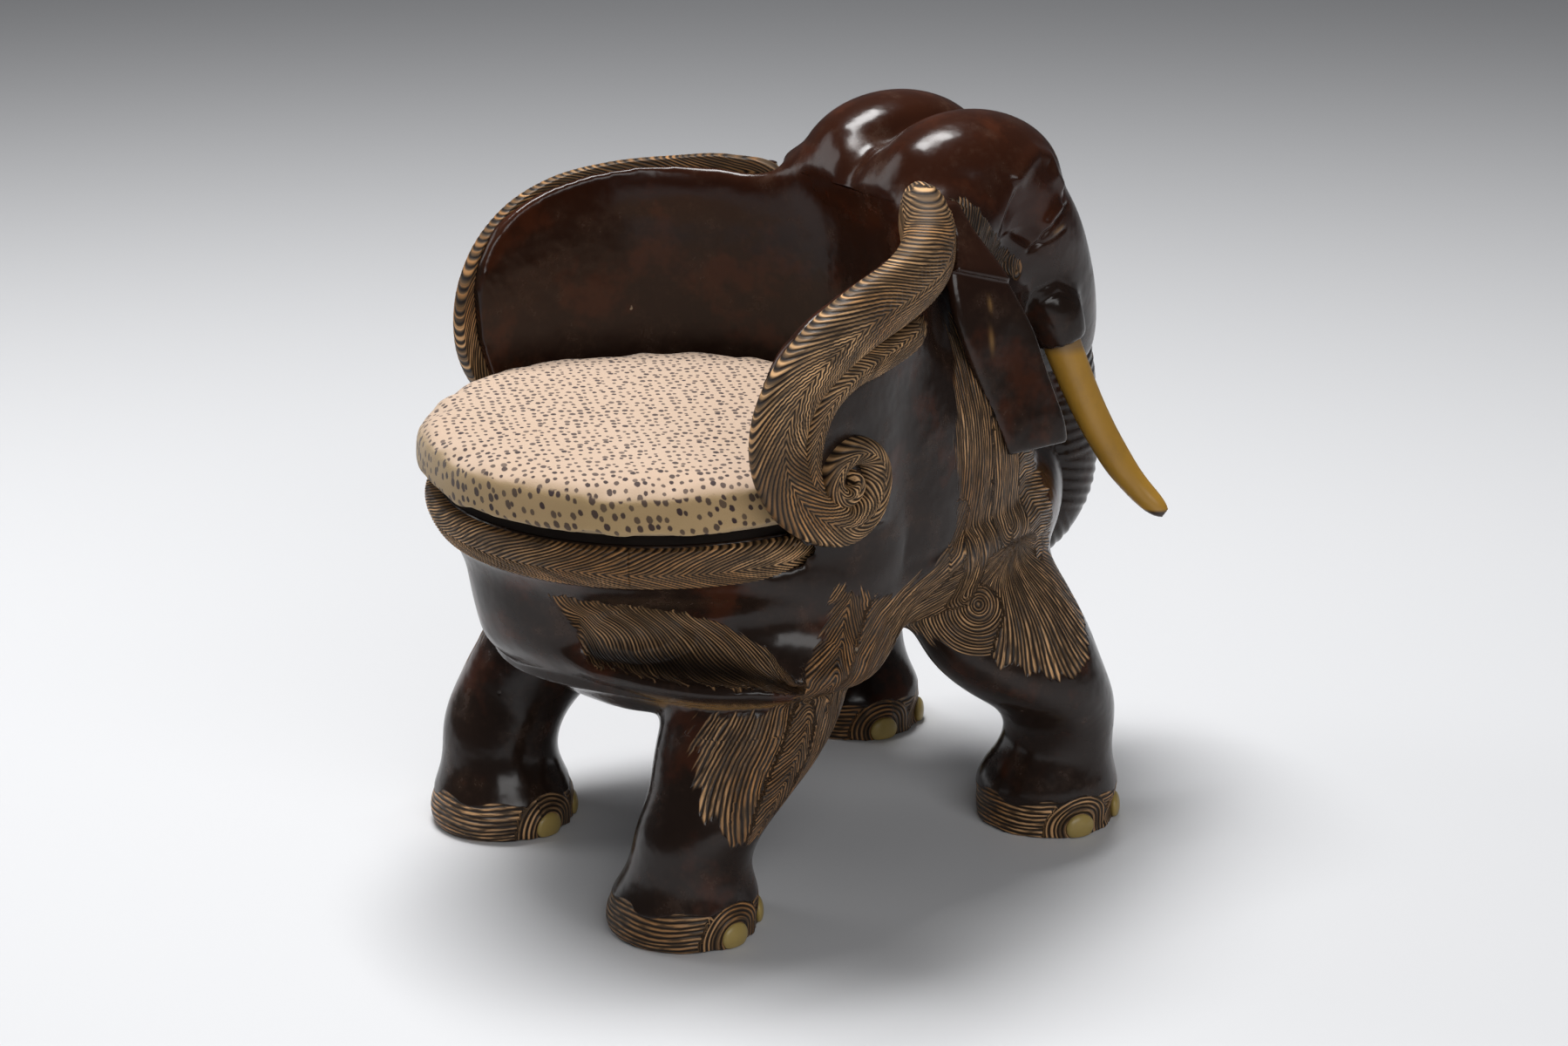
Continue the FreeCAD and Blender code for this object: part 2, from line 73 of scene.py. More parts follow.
# Main places: seat, scrolls, rim band, and the planes at which the carved body is cut
SEAT_Y = -0.1495
SCROLL_R = 0.247
VOLUTE_ANGLE = 97.0
VOLUTE_Z = 0.429
RIM_R = 0.216
RIM_SPINE_Z = 0.3525
RIM_SEAM_ANGLE = 48.0
RIM_END_ANGLE = 98.0
BEHIND_SCROLL_R = 0.2485
BEHIND_RIM_R = 0.205
LEG_CUT_Z = 0.19
BLOCK_CUT_Z = 0.385
SPLIT_Y = 0.02
HEAD_CUT = ((0, 0.145, 0.518), (0, 0.785, 0.62))

# Mesh steps, and the strokes of the bands: their spacing, and how much they lean
BODY_VOXEL = 0.003
THIN_VOXEL = 0.0022
PAD_VOXEL = 0.0055
FAR = 1e9
BAND_STEP = 0.0013
STROKE = 0.0076
BAND_LEAN = 2.3
FUR_EDGE = 0.012

# Cushion: heights, radius, size before it is filled, how far it may swell, and frames of filling
CUSHION_TOP = 0.439
PAD_MIDDLE = 0.410
PAD_BOTTOM = 0.3883
PAD_RADIUS = 0.2225
PAD_SHRINK = (0.985, 0.985, 0.88)
PAD_SWELL = 0.010
PAD_FRAMES = 20

CAMERA_PLACE = (2.70553, -2.00685, 1.45988)
CAMERA_TARGET = (0.0, -0.00573, 0.29872)
CAMERA_LENS = 85.45

# Colours, as amounts of red, green and blue light
LACQUER = (0.021, 0.012, 0.0085)
RED_LACQUER = (0.040, 0.0105, 0.004)
WORN_LACQUER = (0.095, 0.050, 0.030)
GROOVE = (0.013, 0.007, 0.0045)
# Near-black colour of the painted shade in creases and hollows
PAINTED_SHADE_COLOUR = (0.006, 0.004, 0.0035)
TAN = (0.740, 0.425, 0.203)
BAND_TAN = (0.950, 0.560, 0.265)
GOLD_TAN = (0.255, 0.140, 0.052)
AMBER = (0.36, 0.150, 0.036)
PALE_TAN = (0.34, 0.25, 0.17)
OCHRE = (0.55, 0.29, 0.04)
NAIL = (0.46, 0.33, 0.10)
DULL_OCHRE = (0.16, 0.09, 0.03)
TUSK_TIP = (0.05, 0.03, 0.02)
TUSK_COLLAR = (0.13, 0.085, 0.05)
HIDE_TOP = (0.60, 0.445, 0.335)
HIDE_SIDE = (0.37, 0.255, 0.115)
HIDE_TAN = (0.52, 0.335, 0.19)
HIDE_SPOT = (0.026, 0.009, 0.010)
PLYWOOD = (0.55, 0.42, 0.27)
STAINED_WOOD = (0.012, 0.008, 0.006)
DOWEL_WOOD = (0.60, 0.47, 0.30)
# The floor's colour near the object, and the darker colour further back: painted shade where less lamp
# light reaches
FLOOR_NEAR = (0.71, 0.715, 0.73)
FLOOR_FAR = (0.36, 0.363, 0.375)
AIR = (0.92, 0.95, 1.0)
AIR_STRENGTH = 0.07
# Each lamp: name, place, width, height and watts
LAMPS = (
    ("overhead softbox", (-1.15, 0.1, 4.6), 2.3, 1.4, 250),
    ("front softbox", (3.8, -1.1, 2.6), 3.6, 1.5, 74),
    ("side softbox", (-2.2, -1.7, 1.8), 1.0, 1.8, 14),
)
LAMP_TARGET = (0, 0, 0.4)

BODY_CREASE = 50
BAND_CREASE = 80


# Mesh helpers

def select_only(objects):
    bpy.ops.object.select_all(action="DESELECT")
    for obj in objects:
        obj.select_set(True)
    bpy.context.view_layer.objects.active = objects[0]


def read_rows(collection, name, width, kind=float):
    values = np.empty(len(collection) * width, dtype=kind)
    collection.foreach_get(name, values)
    return values.reshape(-1, width)


def get_points(obj):
    return read_rows(obj.data.vertices, "co", 3)


def get_normals(obj):
    return read_rows(obj.data.vertex_normals, "vector", 3)


def get_edges(obj):
    return read_rows(obj.data.edges, "vertices", 2, np.int64)


def set_points(obj, points):
    obj.data.vertices.foreach_set("co", np.ascontiguousarray(points).ravel())
    obj.data.update()


def put_values(obj, **values):
    """Stores named numbers for each vertex, for the materials to read."""
    for name, numbers in values.items():
        layer = obj.data.attributes.get(name) or obj.data.attributes.new(name, "FLOAT", "POINT")
        layer.data.foreach_set("value", np.ascontiguousarray(numbers, dtype=np.float32))


def mm(*rows):
    """Rows given in millimetres, turned into metres."""
    return np.array(rows) / 1000


def ramp(values, low, high):
    """0 below low, 1 above high, smooth between; the ends may be given in either order."""
    t = np.clip((values - low) / (high - low), 0.0, 1.0)
    return t * t * (3 - 2 * t)


def bell(distance, width):
    """1 where the distance is 0, fading smoothly away over the width."""
    return np.exp(-((distance / width) ** 2))


def relax(points, edges, weight, rounds):
    """Moves each vertex towards the middle of its neighbours, by one weight or one for each."""
    weight = np.broadcast_to(weight, len(points))[:, None]
    count = len(points)
    a, b = edges[:, 0], edges[:, 1]
    degree = np.bincount(a, minlength=count) + np.bincount(b, minlength=count)
    degree = np.maximum(degree, 1)
    for _ in range(rounds):
        middle = np.empty_like(points)
        for k in range(3):
            total = np.bincount(a, weights=points[b, k], minlength=count)
            total += np.bincount(b, weights=points[a, k], minlength=count)
            middle[:, k] = total / degree
        points = points + (middle - points) * weight
    return points


def waviness(points, scale, seed):
    """A smooth irregular value between -1 and 1, made of a few sine waves."""
    rng = np.random.default_rng(seed)
    total = np.zeros(len(points))
    for _ in range(5):
        direction = rng.normal(size=3)
        direction /= np.linalg.norm(direction)
        total += np.sin(points @ direction * scale * rng.uniform(0.7, 1.6) + rng.uniform(0, 6.28))
    return total / 5


def new_object(name, data):
    obj = bpy.data.objects.new(name, data)
    bpy.context.scene.collection.objects.link(obj)
    return obj


@contextmanager
def edit_mode(obj):
    """Edit mode with the whole mesh selected."""
    select_only([obj])
    bpy.ops.object.mode_set(mode="EDIT")
    bpy.ops.mesh.select_all(action="SELECT")
    yield
    bpy.ops.object.mode_set(mode="OBJECT")


@contextmanager
def edit_vertices(obj, chosen):
    """Edit mode with only the chosen vertices selected."""
    select_only([obj])
    bpy.ops.object.mode_set(mode="EDIT")
    bpy.ops.mesh.select_all(action="DESELECT")
    bpy.ops.object.mode_set(mode="OBJECT")
    obj.data.vertices.foreach_set("select", chosen)
    bpy.ops.object.mode_set(mode="EDIT")
    bpy.ops.mesh.select_mode(type="VERT")
    yield
    bpy.ops.object.mode_set(mode="OBJECT")


def merged_copy(nodes, name):
    """One new mesh from copies of the CAD nodes, with their loose triangles joined up."""
    copies = [new_object(name + "_" + node, frame["nodes"][node].data.copy()) for node in nodes]
    select_only(copies)
    if len(copies) > 1:
        bpy.ops.object.join()
    piece = copies[0]
    piece.name = name
    piece.data.materials.clear()
    with edit_mode(piece):
        bpy.ops.mesh.remove_doubles(threshold=0.00001)
    return piece


def apply_all(obj):
    select_only([obj])
    for modifier in list(obj.modifiers):
        bpy.ops.object.modifier_apply(modifier=modifier.name)


def remesh(obj, voxel):
    modifier = obj.modifiers.new("even mesh", "REMESH")
    modifier.mode = "VOXEL"
    modifier.voxel_size = voxel
    apply_all(obj)


def smooth_shade(obj, degrees):
    select_only([obj])
    bpy.ops.object.shade_smooth_by_angle(angle=math.radians(degrees))


def keep_side(obj, place, normal, name):
    """A closed copy of obj with what lies ahead of the plane cut away."""
    piece = new_object(name, obj.data.copy())
    with edit_mode(piece):
        bpy.ops.mesh.bisect(plane_co=place, plane_no=normal, use_fill=True, clear_outer=True)
    return piece


def split(obj, place, normal, ahead_name, behind_name):
    """Cuts obj in two closed pieces at a plane and removes the original."""
    ahead = keep_side(obj, place, [-n for n in normal], ahead_name)
    behind = keep_side(obj, place, normal, behind_name)
    bpy.data.objects.remove(obj)
    return ahead, behind


def drop_crumbs(piece):
    """Keeps only what hangs together with the highest vertex."""
    highest = np.zeros(len(piece.data.vertices), bool)
    highest[np.argmax(get_points(piece)[:, 2])] = True
    with edit_vertices(piece, highest):
        bpy.ops.mesh.select_linked()
        bpy.ops.mesh.select_all(action="INVERT")
        bpy.ops.mesh.delete(type="VERT")


# Fur: each patch gives a line count across its hairs, a place along them, and how far away or full it is

def guide_place(points, normals, guide):
    """For each vertex: how far along the guide, how far to its left on the surface, how far away."""
    best = np.full(len(points), FAR)
    along = np.zeros(len(points))
    across = np.zeros(len(points))
    start = 0.0
    for a, b in zip(guide[:-1], guide[1:]):
        step = b - a
        length = np.linalg.norm(step)
        forward = step / length
        t = np.clip((points - a) @ forward, 0, length)
        offset = points - (a + t[:, None] * forward)
        away = np.linalg.norm(offset, axis=1)
        side = np.einsum("ij,ij->i", np.cross(forward, normals), offset)
        above = np.einsum("ij,ij->i", normals, offset)
        flat = np.sqrt(np.maximum(away**2 - above**2, 0.0))
        nearer = away < best
        best[nearer] = away[nearer]
        along[nearer] = start + t[nearer]
        across[nearer] = (np.sign(side) * flat)[nearer]
        start += length
    return along, across, best


def mirrored(points, normals):
    """Both sides of the body laid over its right-hand side."""
    right = points.copy()
    right[:, 0] = np.abs(right[:, 0])
    faces = normals.copy()
    faces[:, 0] *= np.where(points[:, 0] < 0, -1.0, 1.0)
    return right, faces


def outline_depth(a, b, outline):
    """How deep each point (a, b) lies inside a closed outline; below zero outside it."""
    nearest = np.full(len(a), FAR)
    inside = np.zeros(len(a), bool)
    for (a0, b0), (a1, b1) in zip(outline, np.roll(outline, -1, axis=0)):
        step = np.array((a1 - a0, b1 - b0))
        t = ((a - a0) * step[0] + (b - b0) * step[1]) / (step @ step)
        t = np.clip(t, 0, 1)
        nearest = np.minimum(nearest, np.hypot(a - a0 - t * step[0], b - b0 - t * step[1]))
        crosses = (b0 > b) != (b1 > b)
        with np.errstate(divide="ignore", invalid="ignore"):
            cut = a0 + (b - b0) / (b1 - b0) * (a1 - a0)
        inside ^= crosses & (a < cut)
    return np.where(inside, nearest, -nearest)


def fullness(depth, edge=FUR_EDGE):
    """Half at the edge of a patch, full a little way inside it."""
    return np.clip(0.5 + 0.5 * depth / edge, 0.0, 1.0)


def comb(points, normals, guide, reach, spacing=0.0030, spread=0.0):
    """Hair that runs along the guide, opening out by spread per metre."""
    along, across, away = guide_place(points, normals, guide)
    lines = across / (spacing * (1.0 + spread * along)) + 0.6 * np.sin(along * 50)
    return lines, along, away / reach


def feather(points, normals, guide, reach, spacing=0.0060, lean=1.9):
    """Hair that leaves the guide on both sides and sweeps forward."""
    along, across, away = guide_place(points, normals, guide)
    out = np.abs(across)
    lines = (along - lean * np.power(out, 0.9) * 0.7) / spacing
    return lines, out * (1 + lean), away / reach


def hatch(points, normals, guide, reach, spacing=0.0033):
    """Short level cuts beside the guide."""
    _, across, away = guide_place(points, normals, guide)
    return (points[:, 2] + 0.25 * np.abs(across)) / spacing, across, away / reach


def shoulder_swirl(points):
    """Rings on the shoulder, which reach further below it and behind it."""
    offset = points - np.array(SWIRL)
    r = np.linalg.norm(offset, axis=1)
    turn = np.arctan2(offset[:, 2], offset[:, 1])
    reach = 0.052 + 0.045 * ramp(offset[:, 1], 0.012, -0.012) * ramp(offset[:, 2], 0.0, -0.02)
    return r / 0.0031, turn * np.minimum(r, 0.03), r / reach


def shoulder_fan(points):
    """Hair that opens out below the neck, down to a rounded fringe."""
    y = points[:, 1] - FAN[0]
    down = FAN[1] - points[:, 2]
    r = np.hypot(y, down)
    lines = np.arctan2(y, down) * 0.080 / 0.0033 + 0.5 * np.sin(r * 60)
    return lines, r, r / 0.15 + 2.0 * ramp(down, 0.015, -0.015)


# Upper and lower edge of the hip hollows: angles round the seat, and the height at each
HOLLOW_TOP = ((12, 21, 31, 40, 56, 74, 83, 86), mm(316, 319, 315, 311, 302, 291, 272, 245))
HOLLOW_LOW = ((20, 34, 51, 76, 86), mm(262, 247, 244, 246, 236))
HOLLOW_SPAN = (22, 88)


def hip_depth(points):
    """How deep each point lies inside its hip hollow, how high between lip and top, and its angle."""
    z = points[:, 2]
    angle, radius = seat_polar(points)
    first, last = HOLLOW_SPAN
    top = np.interp(angle, *HOLLOW_TOP)
    low = np.interp(angle, *HOLLOW_LOW)
    height = np.clip((z - low) / np.maximum(top - low, 0.01), 0.0, 1.0)
    start = first + 9 * (1 - height)
    ends = np.minimum(angle - start, last - angle) * 0.003
    depth = np.minimum.reduce((z - low, top - z, ends))
    return np.where(radius > 0.135, depth, -1.0), height, angle


def hip_hollow(points):
    """Wavy lines in the hollow, which run down and back along the lip."""
    depth, height, angle = hip_depth(points)
    run = np.radians(angle) * 0.19
    lines = (run + 0.085 * np.sqrt(height) + 0.007 * np.sin(points[:, 2] * 110)) / 0.0047
    return lines, height * 0.06 + run * 0.5, fullness(depth, 0.006)


def foot_rings(points, foot, nail_angles):
    """Rings round a foot's sole and arcs over each nail."""
    x, y, z = points.T
    turn = np.arctan2(y - foot[1], x - foot[0])
    lines = z / 0.0046 + 0.25 * np.sin(turn * 5)
    along = turn * 0.07
    depth = np.minimum(0.037 + 0.003 * np.sin(turn * 7) - z, 0.10 - np.hypot(x - foot[0], y - foot[1]))
    for angle in nail_angles:
        a = math.radians(angle)
        nail = np.array((foot[0] + 0.0675 * math.cos(a), foot[1] + 0.0675 * math.sin(a), 0.008))
        r = np.linalg.norm(points - nail, axis=1)
        here = (r < 0.036) & (r > 0.008)
        lines = np.where(here, r / 0.0044, lines)
        depth = np.where(here, np.maximum(depth, 0.034 - r), depth)
    return lines, along, fullness(depth, 0.004)


# Centre of the shoulder's swirl, and the point (y, z) from which the hair below the neck opens out
SWIRL = (0.188, 0.082, 0.252)
FAN = (0.118, 0.315)

# Guides of the fur on the right-hand side
NECK_SPINE = mm(
    (145, 66, 535), (178, 64, 489), (198, 65, 447), (208, 59, 385), (209, 56, 338), (206, 64, 305),
    (190, 70, 262),
)
BELLY_LINE = mm(
    (200, 55, 372), (212, 26, 325), (222, -20, 292), (228, -55, 276), (228, -85, 245),
    (222, -112, 208), (212, -135, 170), (208, -170, 125), (205, -190, 90),
)
COLUMN_LINE = mm(
    (226, -98, 330), (228, -101, 307), (232, -113, 269), (238, -133, 234), (220, -140, 198),
    (225, -157, 169), (226, -190, 125), (220, -205, 90),
)
THIGH_LINE = mm(
    (200, -170, 225), (208, -192, 192), (214, -208, 172), (217, -218, 150), (216, -228, 115),
    (214, -232, 90),
)
CHEST_LINE = mm((196, 132, 440), (186, 146, 370), (180, 158, 320), (176, 166, 285))
NAPE_LINE = mm((165, 110, 520), (190, 108, 450), (198, 106, 380), (200, 108, 330))
EAR_HAIR = mm((130, 90, 640), (135, 107, 616), (139, 127, 587), (126, 152, 566), (112, 178, 545))

# What the fur covers on the right-hand side, seen square to that side, as (y, z)
SIDE_FUR = mm(
    (62, 522), (55, 501), (44, 474), (33, 430), (32, 382), (33, 347), (18, 331), (-2, 317),
    (-22, 306), (-49, 300), (-77, 305), (-100, 318), (-120, 326), (-117, 308), (-124, 286),
    (-140, 266), (-161, 249), (-168, 232), (-168, 213), (-221, 209), (-231, 189), (-244, 164),
    (-247, 141), (-244, 120), (-230, 101), (-208, 98), (-180, 112), (-150, 135), (-115, 160),
    (-85, 190), (-50, 222), (0, 228), (42, 218), (60, 210), (78, 210), (100, 196), (116, 186),
    (140, 177), (161, 175), (182, 181), (199, 194), (214, 217), (215, 240), (194, 268), (188, 297),
    (186, 341), (180, 400), (165, 450), (140, 500), (100, 530),
)

HIND_FOOT = (0.154, -0.2335)
FRONT_FOOT = (0.154, 0.1985)
HIND_NAILS = (8.0, 63.0, 117.0, 172.0)
FRONT_NAILS = (-10.0, 50.0, 130.0, 190.0)


def side_fur(points, normals):
    """Neck, shoulder, belly, flank and thigh: each vertex takes the nearest patch, parted from the next."""
    patches = [
        comb(points, normals, NECK_SPINE, 0.040),
        comb(points, normals, NAPE_LINE, 0.034),
        comb(points, normals, BELLY_LINE, 0.034),
        feather(points, normals, COLUMN_LINE, 0.024),
        comb(points, normals, THIGH_LINE, 0.036, spread=5.0),
        hatch(points, normals, CHEST_LINE, 0.024),
        shoulder_fan(points),
        shoulder_swirl(points),
    ]
    lines, along, far = (np.array(values) for values in zip(*patches))
    order = np.argsort(far, axis=0)
    rows = np.arange(far.shape[1])
    nearest, next_one = order[0], order[1]
    parting = ramp(far[next_one, rows] - far[nearest, rows], 0.0, 0.10)
    depth = outline_depth(points[:, 1], points[:, 2], SIDE_FUR)
    _, radius = seat_polar(points)
    depth = np.minimum(depth, (points[:, 0] - 0.130) * 1.5)
    depth = np.where(points[:, 2] > BLOCK_CUT_Z, np.minimum(depth, radius - 0.243), depth)
    return lines[nearest, rows], along[nearest, rows], fullness(depth) * (0.72 + 0.28 * parting)


def short_hair(points, normals, guide, width, spacing=0.0034):
    """A narrow row of short hairs beside a guide."""
    along, across, away = guide_place(points, normals, guide)
    return (along - 0.5 * across) / spacing, across, fullness(width - away, 0.006)


def body_fur(points, normals):
    """Line count, place along the hairs and fullness of all fur, worked out on the right-hand side."""
    right, faces = mirrored(points, normals)
    patches = [
        side_fur(right, faces),
        hip_hollow(right),
        short_hair(right, faces, EAR_HAIR, 0.010),
        foot_rings(right, HIND_FOOT, HIND_NAILS),
        foot_rings(right, FRONT_FOOT, FRONT_NAILS),
    ]
    lines, along, full = (np.array(values) for values in zip(*patches))
    fullest = np.argmax(full, axis=0)
    rows = np.arange(full.shape[1])
    return lines[fullest, rows], along[fullest, rows], full[fullest, rows]


# Carved body

BODY_NODES = (
    "seat_block", "chest_block", "neck_block", "back_left", "back_right", "head",
    "leg_hind_left", "leg_hind_right", "leg_front_left", "leg_front_right",
    "back_dowels", "body_dowels", "leg_dowels", "neck_dowels", "head_dowels", "trunk_dowel", "ear_dowels",
)
SCROLL_NODES = ("scroll_left", "scroll_right")
RIM_NODES = ("rim_front", "rim_left", "rim_right")

# The arm's edge, seen square to the side, as (y, z)
ARM_FRONT = mm((-164, 378), (-185, 415), (-201, 460), (-204, 503))
ARM_TOP = mm((-204, 503), (-195, 538), (-171, 568), (-125, 593), (-70, 608), (110, 622))


def seat_polar(points):
    angle = np.degrees(np.arctan2(np.abs(points[:, 0]), -(points[:, 1] - SEAT_Y)))
    radius = np.hypot(points[:, 0], points[:, 1] - SEAT_Y)
    return angle, radius


def scale_round_seat(points, scale):
    """Moves points towards the seat's axis, or away from it."""
    points[:, 0] *= scale
    points[:, 1] = SEAT_Y + (points[:, 1] - SEAT_Y) * scale


def filler(nodes, name, radius):
    """Copies of carved bands pressed back inside the wall, to fill the space behind them."""
    piece = merged_copy(nodes, name)
    points = get_points(piece)
    _, old = seat_polar(points)
    scale_round_seat(points, np.minimum(1.0, radius / np.maximum(old, 1e-6)))
    set_points(piece, points)
    return piece


def trim_to_arm(piece):
    """Keeps a filler inside the arm's outline."""
    points = get_points(piece)
    front_y, front_z = ARM_FRONT.T
    top_y, top_z = ARM_TOP.T
    points[:, 1] = np.maximum(points[:, 1], np.interp(points[:, 2], front_z, front_y) + 0.003)
    points[:, 2] = np.minimum(points[:, 2], np.interp(points[:, 1], top_y, top_z) - 0.003)
    set_points(piece, points)


def blend_weight(points):
    """Where the carver ran one form into the next: leg tops, neck, and the domes over the backrest."""
    y, z = points[:, 1], points[:, 2]
    _, radius = seat_polar(points)
    leg_tops = ramp(z, 0.185, 0.215) * ramp(z, 0.33, 0.29) * ramp(y, -0.10, -0.06)
    hind_top = ramp(z, 0.165, 0.185) * ramp(z, 0.215, 0.20) * ramp(y, -0.10, -0.14)
    neck_foot = ramp(z, 0.34, 0.37) * ramp(z, 0.43, 0.40) * ramp(radius, 0.250, 0.256)
    nape = ramp(z, 0.50, 0.53) * ramp(y, -0.02, 0.02) * ramp(z, 0.70, 0.60)
    return np.clip(np.maximum.reduce((leg_tops, neck_foot, nape, hind_top * 0.6)), 0, 1)


def sweep_weight(points):
    """Where the backrest runs up into the domes inside, and into the neck outside."""
    angle, radius = seat_polar(points)
    z = points[:, 2]
    inside = ramp(angle, 138, 150) * ramp(z, 0.555, 0.585) * ramp(z, 0.668, 0.640)
    inside *= ramp(radius, 0.262, 0.246)
    gutter = ramp(angle, 108, 116) * ramp(angle, 150, 140) * ramp(z, 0.37, 0.41) * ramp(z, 0.60, 0.57)
    return np.maximum(inside, gutter * ramp(radius, 0.240, 0.246))


def flank_fold(points):
    """The fold of skin that hangs between the belly and the hind leg."""
    x, y, z = np.abs(points[:, 0]), points[:, 1], points[:, 2]
    here = bell(y + 0.055, 0.045) * bell(z - 0.235, 0.030) * ramp(x, 0.12, 0.18)
    shift = np.stack([0.004 * here * np.sign(points[:, 0]), np.zeros(len(points)), -0.010 * here], axis=1)
    return points + shift


def fill_gutter(points):
    """Carries the wall's outside over to the ridge of the neck in one smooth bulge."""
    right = np.abs(points[:, 0])
    y, z = points[:, 1], points[:, 2]
    _, radius = seat_polar(points)
    spine_x, spine_y, spine_z = NECK_SPINE[::-1].T
    ridge_x = np.interp(z, spine_z, spine_x) - 0.002
    ridge_y = np.interp(z, spine_z, spine_y)
    wall_x, wall_y = 0.2235, -0.041
    t = np.clip((y - wall_y) / (ridge_y - wall_y), 0.0, 1.0)
    target = wall_x + (ridge_x - wall_x) * t + 0.005 * np.sin(np.pi * t)
    here = (radius > 0.2425) & (y > wall_y) & (y < ridge_y) & (right > 0.10)
    amount = ramp(z, 0.305, 0.335) * ramp(z, 0.60, 0.56) * here
    moved = points.copy()
    moved[:, 0] += np.sign(points[:, 0]) * np.maximum(0.0, target - right) * amount
    return moved


def clumps(points, normals):
    """Low swells under the fur, each as wide as a few hairs."""
    lines, along, full = body_fur(points, normals)
    swell = 0.5 - 0.5 * np.cos(2 * np.pi * lines / 6.0 + 1.2 * np.sin(along * 40))
    return points + normals * (0.0016 * ramp(full, 0.45, 0.95) * (swell - 0.6))[:, None]


# Lines of the face, and all its folds as guide, half width and how far each stands out
BROW = mm(
    (117, 188, 558), (121, 203, 565), (123, 211, 575), (122, 222, 584), (117, 235, 592),
    (104, 254, 596),
)
EYELID = mm((120, 199, 564), (122, 211, 566), (122, 222, 569), (120, 234, 574), (117, 243, 577))
EYE = mm((121, 219, 572.5), (120, 230, 576.5), (118, 240, 580))
HOOD = mm(
    (126, 168, 627), (123, 178, 638), (116, 193, 648), (109, 208, 652), (106, 226, 644),
    (110, 232, 627), (104, 247, 609),
)
TEMPLE = mm((127, 158, 612), (126, 178, 602), (122, 190, 584), (118, 180, 568))
FACE_FOLDS = (
    (BROW, 0.0024, -0.0026),
    (EYELID, 0.0020, -0.0018),
    (mm((121, 207, 579), (120, 222, 592), (112, 240, 600)), 0.0060, 0.0030),
    (HOOD, 0.0085, 0.0042),
    (TEMPLE, 0.0200, -0.0075),
    (mm((108, 213, 503), (117, 233, 514), (117, 260, 497)), 0.0024, -0.0014),
    (mm((108, 205, 515), (117, 232, 526), (115, 266, 507)), 0.0024, -0.0012),
)


def carve_hips(points):
    """Scoops the hip hollows deeper above their lips, and rounds the lips outwards."""
    depth, height, angle = hip_depth(points)
    _, radius = seat_polar(points)
    scoop = ramp(depth, -0.001, 0.006) * (0.35 * ramp(height, 1.0, 0.5) + 0.65 * ramp(height, 0.65, 0.20))
    low = np.interp(angle, *HOLLOW_LOW)
    lip = bell(points[:, 2] - low + 0.007, 0.009) * ramp(angle, 16, 34) * ramp(angle, 92, 78)
    taper = ramp(points[:, 2], 0.305, 0.225) * ramp(angle, 72, 40)
    shift = (0.0050 * lip - 0.0190 * scoop - 0.0100 * taper) * ramp(radius, 0.130, 0.150)
    shift *= ramp(points[:, 2], 0.196, 0.215)
    shift = np.maximum(shift, np.minimum(0.0, 0.158 - radius))
    moved = points.copy()
    scale_round_seat(moved, 1 + shift / radius)
    return moved


def carve_face(points, normals):
    """Brow, eyelids, the fold over the temple and the rings over the tusk, on both sides."""
    right, faces = mirrored(points, normals)
    moved = points.copy()
    for guide, width, height in FACE_FOLDS:
        moved += normals * (height * near_line(right, faces, guide, width))[:, None]
    crease = bell(points[:, 0], 0.014) * ramp(points[:, 2], 0.60, 0.64)
    moved += normals * (-0.006 * crease)[:, None]
    return moved


def near_line(points, normals, guide, width):
    """1 on the guide, fading to 0 over the width, and tapered at its ends."""
    along, _, away = guide_place(points, normals, guide)
    length = np.linalg.norm(np.diff(guide, axis=0), axis=1).sum()
    return bell(away, width) * ramp(along, 0.0, 0.009) * ramp(along, length, length - 0.009)


def paint(piece):
    """Stores fur, redness, worn edges and painted shade of a body piece for its material; the painted shade
    darkens the hip groove, the brow and eyelid creases and the hair by the ear.
    """
    points = get_points(piece)
    normals = get_normals(piece)
    right, faces = mirrored(points, normals)
    z = points[:, 2]
    angle, radius = seat_polar(points)
    lines, along, full = body_fur(points, normals)
    inside = ramp(radius, 0.236, 0.232) * ramp(z, 0.39, 0.45)
    lip = ramp(-normals[:, 2], 0.20, 0.60) * ramp(z, 0.200, 0.208) * ramp(z, 0.230, 0.222)
    lip *= ramp(angle, 42, 58) * ramp(angle, 96, 88)
    edge = ramp(z, 0.598, 0.612) * ramp(angle, 152, 140)
    edge *= ramp(radius, 0.236, 0.242) * ramp(radius, 0.262, 0.256)
    eye = near_line(right, faces, EYE, 0.0020)
    depth, height, _ = hip_depth(points)
    # Painted shade: dark in the deep groove above each hip lip, along the brow and eyelid creases, and in
    # the hair by the ear
    groove = ramp(depth, -0.002, 0.004) * ramp(height, 0.42, 0.10)
    lids = np.maximum(near_line(right, faces, BROW, 0.0022), near_line(right, faces, EYELID, 0.0018))
    tufts = near_line(right, faces, EAR_HAIR, 0.018)
    put_values(
        piece,
        hair=lines,
        strand=along,
        fur=full,
        red=np.maximum(ramp(z, 0.50, 0.62), inside * 0.35),
        worn=np.maximum.reduce((lip, 0.4 * edge, eye)),
        grime=np.maximum.reduce((groove, lids, 0.8 * tufts)) * (1 - eye),
    )


def finer_face(head):
    """Gives the face more vertices, for the eye and the folds."""
    points = get_points(head)
    chosen = (np.abs(points[:, 0]) > 0.070) & (points[:, 1] > 0.150) & (points[:, 2] > 0.470)
    with edit_vertices(head, chosen):
        bpy.ops.mesh.subdivide(number_cuts=1, smoothness=1.0)


